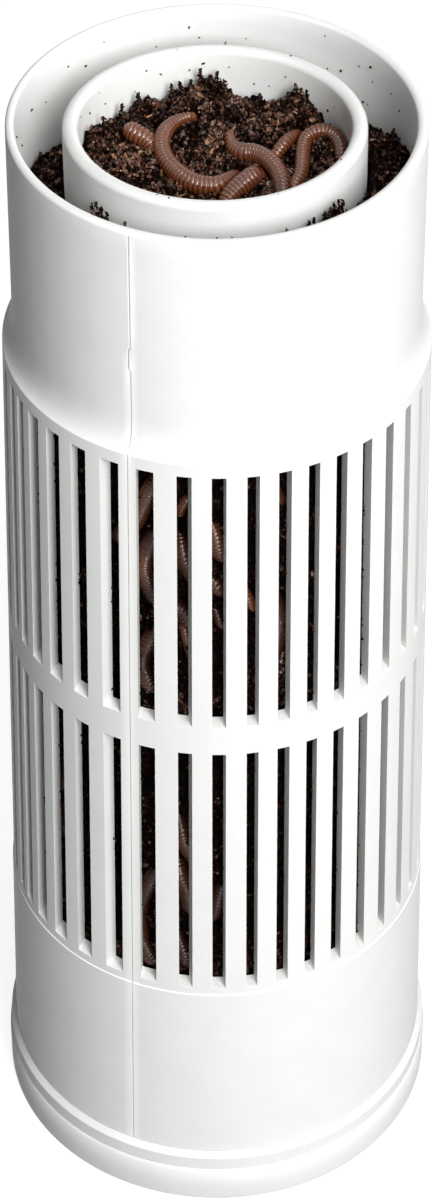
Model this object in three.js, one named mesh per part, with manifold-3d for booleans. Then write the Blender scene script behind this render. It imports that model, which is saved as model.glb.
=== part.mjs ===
// A round worm tower of white moulded plastic, filled with compost and earthworms.
//
// The tower is one moulding: a plain collar, a sloping shoulder, a wide cage with two rows of
// upright slots and a plain foot, with a fine parting ridge down two opposite sides. Its foot
// drops into a stepped base cap, and a feeding tube with worm ports stands in the middle.
// Millimetres, +Z up, the origin on the ground in the middle. -Y is the front, and an azimuth is
// counted from the front, positive towards +X.

import * as THREE from 'three';
import { mergeVertices } from 'three/addons/utils/BufferGeometryUtils.js';
import Module from 'manifold-3d';

const wasm = await Module();
wasm.setup();

// Heights, stacked from the ground up
const BASE_HEIGHT = 27.3;
const FOOT_BAND = 94.3;
const LOWER_SILL = 3.8;
const LOWER_SLOT = 127.5;
const MIDDLE_BAND = 13.9;
const UPPER_SLOT = 120;
const TOP_BAND = 5.3;
const SHOULDER_DROP = 15;
const COLLAR_LENGTH = 79.4;

// Tower walls
const COLLAR_RADIUS = 75;
const COLLAR_DRAFT_DEG = 0.36;
const COLLAR_WALL = 3;
const SHOULDER_STEP = 4;
const CAGE_DRAFT_DEG = 1.146;
const CAGE_WALL = 6.2;
const FOOT_BAND_PROUD = 0.4;

// Slots and parting ridges. The table holds the slots from one ridge round to the other: the
// middle of each as a share of the half turn, and its width as a share of the plain width.
const SLOT_WIDTH = 4.6;
const SLOT_SHARES = [
  [0.0253, 1.44], [0.0835, 1.17], [0.1336, 1.13], [0.1831, 0.98], [0.23, 1.04],
  [0.275, 0.98], [0.3212, 1.04], [0.369, 1.01], [0.4187, 0.98], [0.4694, 0.98],
  [0.518, 0.98], [0.567, 1.01], [0.6167, 1.05], [0.6561, 1.05], [0.6956, 1.1],
  [0.7383, 1.1], [0.7722, 1.15], [0.8142, 1.43], [0.8622, 1.54], [0.9142, 1.48],
  [0.9689, 1.65],
];
const SEAM_AZIMUTH_DEG = -23.5;
const HALF_TURN_DEG = 180;
const RIDGE_WIDTH = 0.8;
const RIDGE_HEIGHT = 0.35;

// Base cap
const SPIGOT_INSET = 2.2;
const LEDGE_OUT = 2.1;
const LEDGE_DROP = 2.5;
const UPPER_RING_HEIGHT = 6.4;
const GROOVE_DEPTH = 0.4;
const GROOVE_HEIGHT = 0.9;
const STEP_OUT = 0.8;
const STEP_DROP = 1.3;
const FOOT_ROUND = 0.8;
const FLOOR_RAISE = 6;
const FLOOR_THICK = 3;
const SKIRT_WALL = 4;
const FOOT_RING_WALL = 4;
const RIB_COUNT = 8;
const RIB_THICK = 2.4;
const LOCATING_RING_WALL = 2.4;
const LOCATING_RING_HEIGHT = 8;
const DRAIN_RADIUS = 3;
const DRAINS_OUTER = 12;
const DRAINS_INNER = 6;
const DRAINS_INNER_SHARE = 0.45;

// Feeding tube and its floor disc
const BEDDING_GAP = 17.7;
const TUBE_WALL = 5;
const TUBE_BELOW_RIM = 3.3;
const TUBE_LEDGE_WALL = 8;
const TUBE_LEDGE_HEIGHT = 3;
const DISC_THICK = 3;
const DISC_HOLE_RADIUS = 3;
const DISC_HOLES_OUTER = 8;
const DISC_HOLES_INNER = 4;
const DISC_OUTER_SHARE = 0.75;
const DISC_INNER_SHARE = 0.38;
const PORT_ROWS = 3;
const PORTS_PER_ROW = 12;
const PORT_WIDTH = 8;
const PORT_BRIDGE = 45;
const PORT_MARGIN = 40;

// Contents
const CORE_BELOW_RIM = 19;
const CORE_MOUND = 5;
const CORE_CRUMB = 1.6;
const RING_BELOW_RIM = 26.5;
const RING_FALL = 14;
const RING_LEAN = 4;
const RING_CRUMB = 2.2;
const CRUMB_WAVE = 34;
const HEAP_RING_SHARES = [1, 0.67, 0.33, 0];
const WORM_RADIUS = 4;
const WORM_TIP_SHARE = 0.45;
const WORM_ROOM = 0.6;

// Clearances
const FIT = 0.3;
const SOIL_FIT = 0.5;
const OVERRUN = 1;

// Facets
const TOWER_FACETS = 64;
const BASE_FACETS = 48;
const TUBE_FACETS = 36;
const SOIL_FACETS = 32;
const HOLE_FACETS = 8;
const CURVE_STEPS = 3;
const LIP_STEPS = 4;
const WORM_SIDES = 6;
const WORM_RINGS = 9;

// Places that follow from the sizes
const FOOT_BAND_TOP = BASE_HEIGHT + FOOT_BAND;
const LOWER_SLOT_BOTTOM = FOOT_BAND_TOP + LOWER_SILL;
const LOWER_SLOT_TOP = LOWER_SLOT_BOTTOM + LOWER_SLOT;
const UPPER_SLOT_BOTTOM = LOWER_SLOT_TOP + MIDDLE_BAND;
const UPPER_SLOT_TOP = UPPER_SLOT_BOTTOM + UPPER_SLOT;
const CAGE_TOP = UPPER_SLOT_TOP + TOP_BAND;
const COLLAR_FOOT = CAGE_TOP + SHOULDER_DROP;
const RIM = COLLAR_FOOT + COLLAR_LENGTH;
const CAGE_TOP_RADIUS = collarRadius(COLLAR_FOOT) + SHOULDER_STEP;
const FLOOR_TOP = FLOOR_RAISE + FLOOR_THICK;
const SPIGOT_BOTTOM = FLOOR_TOP + FIT;
const SPIGOT_RADIUS = cageRadius(BASE_HEIGHT) - SPIGOT_INSET;
const SOCKET_RADIUS = SPIGOT_RADIUS + FIT;
const TUBE_RADIUS = COLLAR_RADIUS - COLLAR_WALL - BEDDING_GAP;
const TUBE_BOTTOM = FLOOR_TOP + FIT;
const TUBE_TOP = RIM - TUBE_BELOW_RIM;
const TUBE_BORE = TUBE_RADIUS - TUBE_WALL;
const TUBE_LEDGE_TOP = TUBE_BOTTOM + TUBE_LEDGE_HEIGHT;
const DISC_BOTTOM = TUBE_LEDGE_TOP + FIT;
const DISC_TOP = DISC_BOTTOM + DISC_THICK;
const LOCATING_RING_INNER = TUBE_RADIUS + FIT;
const LOCATING_RING_OUTER = LOCATING_RING_INNER + LOCATING_RING_WALL;
const LOCATING_RING_TOP = FLOOR_TOP + LOCATING_RING_HEIGHT;

const WHITE = { color: 0xf1f3f1, roughness: 0.42, metalness: 0 };
const SOIL = { color: 0x2c1a12, roughness: 0.95, metalness: 0 };
const WORM = { color: 0x8a4a38, roughness: 0.35, metalness: 0 };

function radians(degrees) {
  return THREE.MathUtils.degToRad(degrees);
}

// Outer radius of the collar, which widens a little downwards
function collarRadius(z) {
  return COLLAR_RADIUS + (RIM - z) * Math.tan(radians(COLLAR_DRAFT_DEG));
}

// Outer radius of the slotted cage and of the foot below it, before the foot's small step
function cageRadius(z) {
  return CAGE_TOP_RADIUS + (CAGE_TOP - z) * Math.tan(radians(CAGE_DRAFT_DEG));
}

function cageBore(z) {
  return cageRadius(z) - CAGE_WALL;
}

// Inner radius of the tower at any height, for what stands inside it
function towerBore(z) {
  if (z >= COLLAR_FOOT) return collarRadius(z) - COLLAR_WALL;
  if (z <= CAGE_TOP) return cageBore(z);
  const share = (z - CAGE_TOP) / SHOULDER_DROP;
  return THREE.MathUtils.lerp(cageBore(CAGE_TOP), collarRadius(COLLAR_FOOT) - COLLAR_WALL, share);
}

// Points on a round stretch of a profile, from one angle to another in degrees
function arc(r, z, radius, from, to, steps) {
  return Array.from({ length: steps + 1 }, (_, i) => {
    const angle = radians(THREE.MathUtils.lerp(from, to, i / steps));
    return [r + radius * Math.cos(angle), z + radius * Math.sin(angle)];
  });
}

// A closed solid turned round +Z from a profile of [radius, height] points that runs up the
// outside and down the inside
function turned(profile, facets, startDeg = 0) {
  const points = [...profile, profile[0]].map(([r, z]) => new THREE.Vector2(r, z));
  const geometry = new THREE.LatheGeometry(points, facets, radians(startDeg));
  return geometry.rotateX(Math.PI / 2);
}

function toSolid(geometry) {
  const bare = geometry.clone();
  bare.deleteAttribute('normal');
  bare.deleteAttribute('uv');
  const merged = mergeVertices(bare);
  return new wasm.Manifold(new wasm.Mesh({
    numProp: 3,
    vertProperties: new Float32Array(merged.attributes.position.array),
    triVerts: new Uint32Array(merged.index.array),
  }));
}

function toGeometry(solid) {
  const mesh = solid.getMesh();
  const geometry = new THREE.BufferGeometry();
  geometry.setAttribute('position', new THREE.BufferAttribute(mesh.vertProperties, 3));
  geometry.setIndex(new THREE.BufferAttribute(mesh.triVerts, 1));
  const faceted = geometry.toNonIndexed();
  faceted.computeVertexNormals();
  return faceted;
}

function joined(solids) {
  return solids.reduce((whole, solid) => whole.add(solid));
}

// A block that reaches out along an azimuth, from one radius to another
function radialBlock(fromRadius, toRadius, width, bottom, top, azimuthDeg) {
  const block = new THREE.BoxGeometry(width, toRadius - fromRadius, top - bottom);
  block.translate(0, -(fromRadius + toRadius) / 2, (bottom + top) / 2);
  return block.rotateZ(radians(azimuthDeg));
}

// Upright round holes spaced evenly on a circle
function holesOnCircle(count, circleRadius, holeRadius, bottom, top) {
  return Array.from({ length: count }, (_, i) => {
    const hole = new THREE.CylinderGeometry(holeRadius, holeRadius, top - bottom, HOLE_FACETS);
    hole.rotateX(Math.PI / 2).translate(0, -circleRadius, (bottom + top) / 2);
    return toSolid(hole.rotateZ(radians((i * 360) / count)));
  });
}

// Tower

function shoulderCurve() {
  const foot = collarRadius(COLLAR_FOOT);
  const curve = new THREE.QuadraticBezierCurve(
    new THREE.Vector2(CAGE_TOP_RADIUS, CAGE_TOP),
    new THREE.Vector2(foot, CAGE_TOP + SHOULDER_STEP),
    new THREE.Vector2(foot, COLLAR_FOOT),
  );
  return curve.getPoints(CURVE_STEPS).map((p) => [p.x, p.y]);
}

// The outside of the tower from the top of the base cap up to where the rim starts to round
function towerOutline() {
  const stepTop = FOOT_BAND_TOP - FOOT_BAND_PROUD;
  return [
    [cageRadius(BASE_HEIGHT) + FOOT_BAND_PROUD, BASE_HEIGHT + FIT],
    [cageRadius(stepTop) + FOOT_BAND_PROUD, stepTop],
    [cageRadius(FOOT_BAND_TOP), FOOT_BAND_TOP],
    ...shoulderCurve(),
    [collarRadius(RIM - COLLAR_WALL / 2), RIM - COLLAR_WALL / 2],
  ];
}

function towerProfile() {
  const lip = COLLAR_WALL / 2;
  return [
    [cageBore(SPIGOT_BOTTOM), SPIGOT_BOTTOM],
    [SPIGOT_RADIUS, SPIGOT_BOTTOM],
    [SPIGOT_RADIUS, BASE_HEIGHT + FIT],
    ...towerOutline().slice(0, -1),
    ...arc(collarRadius(RIM - lip) - lip, RIM - lip, lip, 0, 180, LIP_STEPS),
    [towerBore(COLLAR_FOOT), COLLAR_FOOT],
    [towerBore(CAGE_TOP), CAGE_TOP],
  ];
}

// Azimuth at a share of the half turn on from the front parting ridge
function fromSeam(share) {
  return SEAM_AZIMUTH_DEG + share * HALF_TURN_DEG;
}

// The slots of one row, which are the same in both halves of the tower
function slotRow(bottom, top) {
  return [0, 1].flatMap((half) => SLOT_SHARES.map(([middle, width]) => toSolid(radialBlock(
    cageBore(top) - OVERRUN,
    cageRadius(bottom) + OVERRUN,
    width * SLOT_WIDTH,
    bottom,
    top,
    fromSeam(half + middle),
  ))));
}

// A thin ridge that follows the outside, half sunk in the wall so that it joins it
function partingRidge(azimuthDeg) {
  const outline = towerOutline();
  const sink = FOOT_BAND_PROUD + RIDGE_HEIGHT;
  const shape = new THREE.Shape([
    ...outline.map(([r, z]) => new THREE.Vector2(r + RIDGE_HEIGHT, z)),
    ...outline.reverse().map(([r, z]) => new THREE.Vector2(r - sink, z)),
  ]);
  const ridge = new THREE.ExtrudeGeometry(shape, { depth: RIDGE_WIDTH, bevelEnabled: false });
  ridge.translate(0, 0, -RIDGE_WIDTH / 2).rotateX(Math.PI / 2);
  return toSolid(ridge.rotateZ(radians(azimuthDeg - 90)));
}

function towerBody() {
  const shell = toSolid(turned(towerProfile(), TOWER_FACETS, SEAM_AZIMUTH_DEG));
  const slots = joined([
    ...slotRow(LOWER_SLOT_BOTTOM, LOWER_SLOT_TOP),
    ...slotRow(UPPER_SLOT_BOTTOM, UPPER_SLOT_TOP),
  ]);
  const ridges = [0, 1].map((half) => partingRidge(fromSeam(half)));
  return toGeometry(shell.add(joined(ridges)).subtract(slots));
}

// Base cap

function baseProfile() {
  const rimRadius = cageRadius(BASE_HEIGHT) + FOOT_BAND_PROUD;
  const upperRing = rimRadius + LEDGE_OUT;
  const upperRingTop = BASE_HEIGHT - LEDGE_DROP;
  const grooveTop = upperRingTop - UPPER_RING_HEIGHT;
  const grooveBottom = grooveTop - GROOVE_HEIGHT;
  const lowerRing = upperRing + STEP_OUT;
  return [
    [lowerRing - SKIRT_WALL, 0],
    ...arc(lowerRing - FOOT_ROUND, FOOT_ROUND, FOOT_ROUND, -90, 0, CURVE_STEPS),
    [lowerRing, grooveBottom - STEP_DROP],
    [upperRing, grooveBottom],
    [upperRing - GROOVE_DEPTH, grooveBottom],
    [upperRing - GROOVE_DEPTH, grooveTop],
    [upperRing, grooveTop],
    [upperRing, upperRingTop],
    [rimRadius, BASE_HEIGHT],
    [SOCKET_RADIUS, BASE_HEIGHT],
    [SOCKET_RADIUS, FLOOR_TOP],
    [LOCATING_RING_OUTER, FLOOR_TOP],
    [LOCATING_RING_OUTER, LOCATING_RING_TOP],
    [LOCATING_RING_INNER, LOCATING_RING_TOP],
    [LOCATING_RING_INNER, FLOOR_TOP],
    [0, FLOOR_TOP],
    [0, FLOOR_RAISE],
    [TUBE_RADIUS - FOOT_RING_WALL, FLOOR_RAISE],
    [TUBE_RADIUS - FOOT_RING_WALL, 0],
    [TUBE_RADIUS, 0],
    [TUBE_RADIUS, FLOOR_RAISE],
    [lowerRing - SKIRT_WALL, FLOOR_RAISE],
  ];
}

function baseCap() {
  const points = baseProfile();
  const shell = toSolid(turned(points, BASE_FACETS));
  const skirtInner = points[0][0];
  const ribs = Array.from({ length: RIB_COUNT }, (_, i) => toSolid(radialBlock(
    TUBE_RADIUS - OVERRUN,
    skirtInner + OVERRUN,
    RIB_THICK,
    0,
    FLOOR_RAISE + OVERRUN,
    ((i + 0.5) * 360) / RIB_COUNT,
  )));
  const bottom = FLOOR_RAISE - OVERRUN;
  const top = FLOOR_TOP + OVERRUN;
  const trough = (LOCATING_RING_OUTER + cageBore(SPIGOT_BOTTOM)) / 2;
  const middle = TUBE_BORE * DRAINS_INNER_SHARE;
  const drains = [
    ...holesOnCircle(DRAINS_OUTER, trough, DRAIN_RADIUS, bottom, top),
    ...holesOnCircle(DRAINS_INNER, middle, DRAIN_RADIUS, bottom, top),
  ];
  return toGeometry(shell.add(joined(ribs)).subtract(joined(drains)));
}

// Feeding tube

function innerTube() {
  const lip = TUBE_WALL / 2;
  const ledgeBore = TUBE_RADIUS - TUBE_LEDGE_WALL;
  const profile = [
    [ledgeBore, TUBE_BOTTOM],
    [TUBE_RADIUS, TUBE_BOTTOM],
    ...arc(TUBE_RADIUS - lip, TUBE_TOP - lip, lip, 0, 180, LIP_STEPS),
    [TUBE_BORE, TUBE_LEDGE_TOP],
    [ledgeBore, TUBE_LEDGE_TOP],
  ];
  const lowest = DISC_TOP + PORT_MARGIN;
  const pitch = (TUBE_TOP - PORT_MARGIN - lowest) / PORT_ROWS;
  const ports = [];
  for (let row = 0; row < PORT_ROWS; row += 1) {
    const bottom = lowest + (row + 0.5) * pitch - (pitch - PORT_BRIDGE) / 2;
    for (let i = 0; i < PORTS_PER_ROW; i += 1) {
      ports.push(toSolid(radialBlock(
        TUBE_BORE - OVERRUN,
        TUBE_RADIUS + OVERRUN,
        PORT_WIDTH,
        bottom,
        bottom + pitch - PORT_BRIDGE,
        ((i + 0.5) * 360) / PORTS_PER_ROW,
      )));
    }
  }
  return toGeometry(toSolid(turned(profile, TUBE_FACETS)).subtract(joined(ports)));
}

function tubeFloor() {
  const radius = TUBE_BORE - FIT;
  const disc = new THREE.CylinderGeometry(radius, radius, DISC_THICK, TUBE_FACETS);
  disc.rotateX(Math.PI / 2).translate(0, 0, DISC_BOTTOM + DISC_THICK / 2);
  const bottom = DISC_BOTTOM - OVERRUN;
  const top = DISC_TOP + OVERRUN;
  const ledgeBore = TUBE_RADIUS - TUBE_LEDGE_WALL;
  const holes = [
    ...holesOnCircle(DISC_HOLES_OUTER, ledgeBore * DISC_OUTER_SHARE, DISC_HOLE_RADIUS, bottom, top),
    ...holesOnCircle(DISC_HOLES_INNER, ledgeBore * DISC_INNER_SHARE, DISC_HOLE_RADIUS, bottom, top),
  ];
  return toGeometry(toSolid(disc).subtract(joined(holes)));
}

// Earthworms

// A closed round body along a path, thinner towards both ends
function wormBody(path, radius) {
  const curve = new THREE.CatmullRomCurve3(path, false, 'centripetal');
  const frames = curve.computeFrenetFrames(WORM_RINGS, false);
  const positions = [];
  const indices = [];
  const push = (p) => positions.push(p.x, p.y, p.z) / 3 - 1;
  const first = push(curve.getPointAt(0));
  for (let ring = 1; ring < WORM_RINGS; ring += 1) {
    const share = ring / WORM_RINGS;
    const centre = curve.getPointAt(share);
    const taper = Math.pow(Math.sin(Math.PI * share), WORM_TIP_SHARE);
    for (let side = 0; side < WORM_SIDES; side += 1) {
      const angle = (2 * Math.PI * side) / WORM_SIDES;
      const across = frames.normals[ring].clone().multiplyScalar(Math.cos(angle));
      across.addScaledVector(frames.binormals[ring], Math.sin(angle));
      push(centre.clone().addScaledVector(across, radius * taper));
    }
  }
  const last = push(curve.getPointAt(1));
  for (let side = 0; side < WORM_SIDES; side += 1) {
    const next = (side + 1) % WORM_SIDES;
    indices.push(first, 1 + next, 1 + side);
    for (let ring = 0; ring < WORM_RINGS - 2; ring += 1) {
      const a = 1 + ring * WORM_SIDES;
      const b = a + WORM_SIDES;
      indices.push(a + side, a + next, b + next, a + side, b + next, b + side);
    }
    const end = 1 + (WORM_RINGS - 2) * WORM_SIDES;
    indices.push(last, end + side, end + next);
  }
  const geometry = new THREE.BufferGeometry();
  geometry.setAttribute('position', new THREE.Float32BufferAttribute(positions, 3));
  geometry.setIndex(indices);
  return geometry;
}

// Worms on the heap in the tube: places as shares of the tube's bore, and the height of the
// worm's middle over the heap in shares of its radius, so that one crosses over another
const TOP_WORM_SHARES = {
  top_worm_1: [
    [-0.69, 0.42, 0.9], [-0.635, 0.36, 0.6], [-0.595, 0.3, -0.6], [-0.55, 0.25, -2.5],
    [-0.51, 0.2, -4.3],
  ],
  top_worm_2: [
    [-0.16, 0.52, -1.6], [-0.22, 0.53, -0.1], [-0.32, 0.525, 0.5], [-0.41, 0.43, 0.7],
    [-0.45, 0.3, 0.8], [-0.45, 0.12, 0.7], [-0.4, -0.06, 0.6], [-0.3, -0.19, 0.5], [-0.17, -0.255, 0.4],
    [-0.05, -0.25, 0.1], [0.03, -0.21, -1.0], [0.09, -0.16, -2.6], [0.15, -0.1, -4.2],
  ],
  top_worm_3: [
    [0.05, 0.4, -1.4], [0.1, 0.29, 0.2], [0.17, 0.15, 0.8], [0.26, 0.07, 1.1], [0.36, 0.03, 1.5],
    [0.46, -0.06, 1.7], [0.52, -0.22, 1.6], [0.54, -0.4, 1.4], [0.54, -0.6, 1.0],
  ],
  top_worm_4: [
    [-0.02, -0.58, 0.2], [0.05, -0.45, 0.6], [0.13, -0.3, 0.8], [0.22, -0.18, 0.5], [0.29, -0.11, -0.5],
    [0.35, -0.05, -2.0], [0.41, 0.03, -3.6],
  ],
  top_worm_5: [
    [0.42, 0.2, -2.0], [0.47, 0.24, -0.4], [0.54, 0.28, 0.2], [0.6, 0.36, -0.4], [0.65, 0.46, -2.0],
  ],
  top_worm_6: [
    [0.64, -0.52, -2.0], [0.655, -0.36, -0.7], [0.67, -0.19, 0.3], [0.68, -0.01, 0.8], [0.7, 0.15, 1.1],
    [0.77, 0.27, 1.3], [0.86, 0.28, 1.1], [0.93, 0.17, 0.7], [0.95, 0.02, 0],
  ],
};

function topWormPath(shares) {
  return shares.map(([across, back, lift]) => {
    const x = across * (TUBE_BORE - WORM_RADIUS);
    const y = back * (TUBE_BORE - WORM_RADIUS);
    return new THREE.Vector3(x, y, coreHeight(x, y) + lift * WORM_RADIUS);
  });
}

// Worms behind the slots: places as shares of the half turn on from the front parting ridge and
// of the slots' height, and how far in from the wall each lies, in shares of its radius
const SIDE_WORM_SHARES = {
  side_worm_1: [
    [0.04, 0.965, 1.2], [0.02, 0.936, 0], [0.006, 0.908, 0], [-0.007, 0.88, 0],
    [-0.028, 0.848, 0], [-0.052, 0.818, 1],
  ],
  side_worm_2: [
    [0.042, 0.878, 1.6], [0.024, 0.85, 0], [0.012, 0.822, -0.04], [0.007, 0.794, -0.04], [0.014, 0.768, 0],
    [0.03, 0.744, 0], [0.05, 0.734, 0], [0.07, 0.726, 0], [0.086, 0.709, 0], [0.108, 0.688, 1.4],
  ],
  side_worm_3: [
    [0.04, 0.687, 1.2], [0.018, 0.662, 0], [0.004, 0.632, 0], [0.003, 0.605, 0], [0.016, 0.579, 0],
    [0.04, 0.56, 1.2],
  ],
  side_worm_4: [
    [0.062, 0.86, 1.4], [0.072, 0.838, 0], [0.082, 0.812, 0], [0.1, 0.79, 0], [0.119, 0.786, 0],
    [0.132, 0.775, 0], [0.148, 0.752, 1.2],
  ],
  side_worm_5: [
    [0.036, 0.214, 1.4], [0.018, 0.18, 0], [0, 0.135, 0], [-0.007, 0.084, 0], [-0.002, 0.04, 0],
    [0.018, 0.009, 0], [0.042, -0.005, 1.2],
  ],
  side_worm_6: [
    [0.056, 0.222, 1.6], [0.066, 0.206, 0], [0.077, 0.176, 0], [0.086, 0.139, 0], [0.1, 0.118, 1.4],
  ],
  side_worm_7: [[0.05, 0.075, 1.4], [0.068, 0.045, 0.1], [0.08, 0.021, 0.1], [0.1, -0.005, 1.2]],
  side_worm_8: [[0.155, 0.205, 1.2], [0.136, 0.17, 0], [0.127, 0.134, 0], [0.114, 0.09, 1.6]],
  side_worm_9: [[0.108, 0.9, 1.2], [0.126, 0.872, 0], [0.136, 0.84, 0], [0.155, 0.812, 1.2]],
  side_worm_10: [
    [0.05, 0.334, 1.6], [0.068, 0.3, 0], [0.078, 0.268, 0], [0.102, 0.236, 0], [0.125, 0.225, 1.4],
  ],
  side_worm_11: [
    [0.2, 0.79, 1.4], [0.22, 0.75, 0], [0.236, 0.7, 0], [0.226, 0.65, 0], [0.205, 0.61, 1.2],
  ],
  side_worm_12: [
    [0.56, 0.4, 1.2], [0.6, 0.36, 0], [0.63, 0.31, 0], [0.66, 0.28, 0], [0.7, 0.25, 1.2],
  ],
  side_worm_13: [
    [-0.62, 0.82, 1.2], [-0.66, 0.77, 0], [-0.71, 0.75, 0], [-0.74, 0.7, 0], [-0.77, 0.64, 1.2],
  ],
  side_worm_14: [
    [-0.14, 0.36, 1.2], [-0.17, 0.3, 0], [-0.2, 0.25, 0], [-0.19, 0.19, 0], [-0.16, 0.15, 1.2],
  ],
};

function sideWormPath(shares) {
  const slotsHeight = UPPER_SLOT_TOP - LOWER_SLOT_BOTTOM;
  return shares.map(([turn, height, depth]) => {
    const azimuth = radians(fromSeam(turn));
    const z = LOWER_SLOT_BOTTOM + height * slotsHeight;
    const radius = towerBore(z) - FIT - (1 + depth) * WORM_RADIUS;
    return new THREE.Vector3(radius * Math.sin(azimuth), -radius * Math.cos(azimuth), z);
  });
}

// Compost

// Gentle lumps that stand for the crumbly top
function crumbs(x, y) {
  const wave = (2 * Math.PI) / CRUMB_WAVE;
  return Math.sin(wave * x) * Math.cos(wave * y) + Math.sin(wave * (x + y)) / 2;
}

// Height of the heap in the tube, higher towards the back
function coreHeight(x, y) {
  const level = TUBE_TOP - CORE_BELOW_RIM;
  return level + (CORE_MOUND * y) / TUBE_BORE + CORE_CRUMB * crumbs(x, y);
}

// Height of the compost round the tube, which falls towards the back and leans to the left
function ringHeight(x, y) {
  const level = RIM - RING_BELOW_RIM;
  const slope = (RING_LEAN * x - RING_FALL * y) / COLLAR_RADIUS;
  return level + slope + RING_CRUMB * crumbs(x, y);
}

// Moves the points above a level onto an uneven surface
function uneven(geometry, above, height) {
  const place = geometry.attributes.position;
  for (let i = 0; i < place.count; i += 1) {
    if (place.getZ(i) > above) place.setZ(i, height(place.getX(i), place.getY(i)));
  }
  return geometry;
}

// Compost with a bed for each worm that lies in it
function beddedSoil(geometry, paths) {
  const beds = paths.map((path) => toSolid(wormBody(path, WORM_RADIUS + WORM_ROOM)));
  return toGeometry(beds.reduce((soil, bed) => soil.subtract(bed), toSolid(geometry)));
}

function compostCore(paths) {
  const radius = TUBE_BORE - FIT;
  const bottom = DISC_TOP + FIT;
  const top = TUBE_TOP - CORE_BELOW_RIM;
  const rings = HEAP_RING_SHARES.map((share) => [share * radius, top]);
  const heap = turned([[0, bottom], [radius, bottom], ...rings], SOIL_FACETS);
  return beddedSoil(uneven(heap, (bottom + top) / 2, coreHeight), paths);
}

function compostRing(paths) {
  const flatShare = Math.cos(Math.PI / SOIL_FACETS);
  const inner = (TUBE_RADIUS + SOIL_FIT) / flatShare;
  const overRing = (LOCATING_RING_OUTER + FIT) / flatShare;
  const bottom = FLOOR_TOP + FIT;
  const top = RIM - RING_BELOW_RIM;
  const outer = (z) => [towerBore(z) - SOIL_FIT, z];
  const heap = turned([
    [overRing, bottom],
    outer(bottom),
    outer(CAGE_TOP),
    outer(COLLAR_FOOT),
    outer(top),
    [(inner + towerBore(top)) / 2, top],
    [inner, top],
    [inner, LOCATING_RING_TOP + FIT],
    [overRing, LOCATING_RING_TOP + FIT],
  ], SOIL_FACETS);
  return beddedSoil(uneven(heap, (COLLAR_FOOT + top) / 2, ringHeight), paths);
}

// Assembly

function part(name, geometry, finish) {
  const mesh = new THREE.Mesh(geometry, new THREE.MeshStandardMaterial(finish));
  mesh.name = name;
  return mesh;
}

function wormParts(paths) {
  return Object.entries(paths).map(([name, path]) => part(name, wormBody(path, WORM_RADIUS), WORM));
}

function pathsOf(shares, toPath) {
  return Object.fromEntries(Object.entries(shares).map(([name, rows]) => [name, toPath(rows)]));
}

const topPaths = pathsOf(TOP_WORM_SHARES, topWormPath);
const sidePaths = pathsOf(SIDE_WORM_SHARES, sideWormPath);

const feedTube = new THREE.Group();
feedTube.add(
  part('inner_tube', innerTube(), WHITE),
  part('tube_floor', tubeFloor(), WHITE),
  part('compost_core', compostCore(Object.values(topPaths)), SOIL),
  ...wormParts(topPaths),
);

const wormery = new THREE.Group();
wormery.add(
  part('base_cap', baseCap(), WHITE),
  part('compost_ring', compostRing(Object.values(sidePaths)), SOIL),
  ...wormParts(sidePaths),
  part('tower_body', towerBody(), WHITE),
  feedTube,
);

export default wormery;
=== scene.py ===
"""A round worm tower of white moulded plastic, filled with compost and earthworms.

The mouldings, the compost and the worms are surfaces worked out with numpy from the same sizes
as the solids. Sizes are in millimetres with the origin on the ground, and become metres when a
mesh is made. -Y is the front, and an azimuth counts from the front towards +X.
"""

import itertools
import math

import bpy
import numpy as np
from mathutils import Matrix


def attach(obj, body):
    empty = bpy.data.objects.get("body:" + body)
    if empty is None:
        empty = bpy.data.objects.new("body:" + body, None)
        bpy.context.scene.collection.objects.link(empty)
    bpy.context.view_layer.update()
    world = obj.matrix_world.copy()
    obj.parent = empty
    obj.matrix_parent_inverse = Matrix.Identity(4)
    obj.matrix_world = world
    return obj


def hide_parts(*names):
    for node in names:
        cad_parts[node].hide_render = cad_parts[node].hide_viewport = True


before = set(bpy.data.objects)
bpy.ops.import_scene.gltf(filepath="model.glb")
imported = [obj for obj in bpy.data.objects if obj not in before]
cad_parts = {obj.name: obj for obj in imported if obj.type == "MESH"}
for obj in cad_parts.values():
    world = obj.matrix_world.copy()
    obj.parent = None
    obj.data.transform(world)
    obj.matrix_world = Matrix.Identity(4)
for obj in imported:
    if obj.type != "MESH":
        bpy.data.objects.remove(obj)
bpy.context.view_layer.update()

MM = 0.001

# Heights
BASE_HEIGHT = 27.3
FOOT_BAND_TOP = 121.6
LOWER_SLOT_BOTTOM = 125.4
LOWER_SLOT_TOP = 252.9
UPPER_SLOT_BOTTOM = 266.8
UPPER_SLOT_TOP = 386.8
SLOT_ROWS = np.array([[LOWER_SLOT_BOTTOM, LOWER_SLOT_TOP], [UPPER_SLOT_BOTTOM, UPPER_SLOT_TOP]])
CAGE_TOP = 392.1
COLLAR_FOOT = 407.1
RIM = 486.5

# Tower
COLLAR_RADIUS = 75.0
COLLAR_DRAFT_DEG = 0.36
COLLAR_WALL = 3.0
SHOULDER_STEP = 4.0
CAGE_DRAFT_DEG = 1.146
CAGE_WALL = 6.2
FOOT_BAND_PROUD = 0.4
SPIGOT_INSET = 2.2
SLOT_WIDTH = 4.6
SLOT_STEPS = 12
SEAM_AZIMUTH_DEG = -23.5
HALF_TURN_DEG = 180.0
RIDGE_SIDES = (-0.8, -0.5, -0.25, 0.0, 0.35, 0.7)
RIDGE_HEIGHT = 0.25
RIDGE_LOW_SHARE = 0.55
RIDGE_JOG = (428.0, 436.0)
RIDGE_JOG_ASIDE = 0.8
EDGE_ROUND = 0.3

# Heights at which the profile only splits long quads
COLLAR_SPLIT = 415.0
FOOT_SPLIT = 70.0

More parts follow.
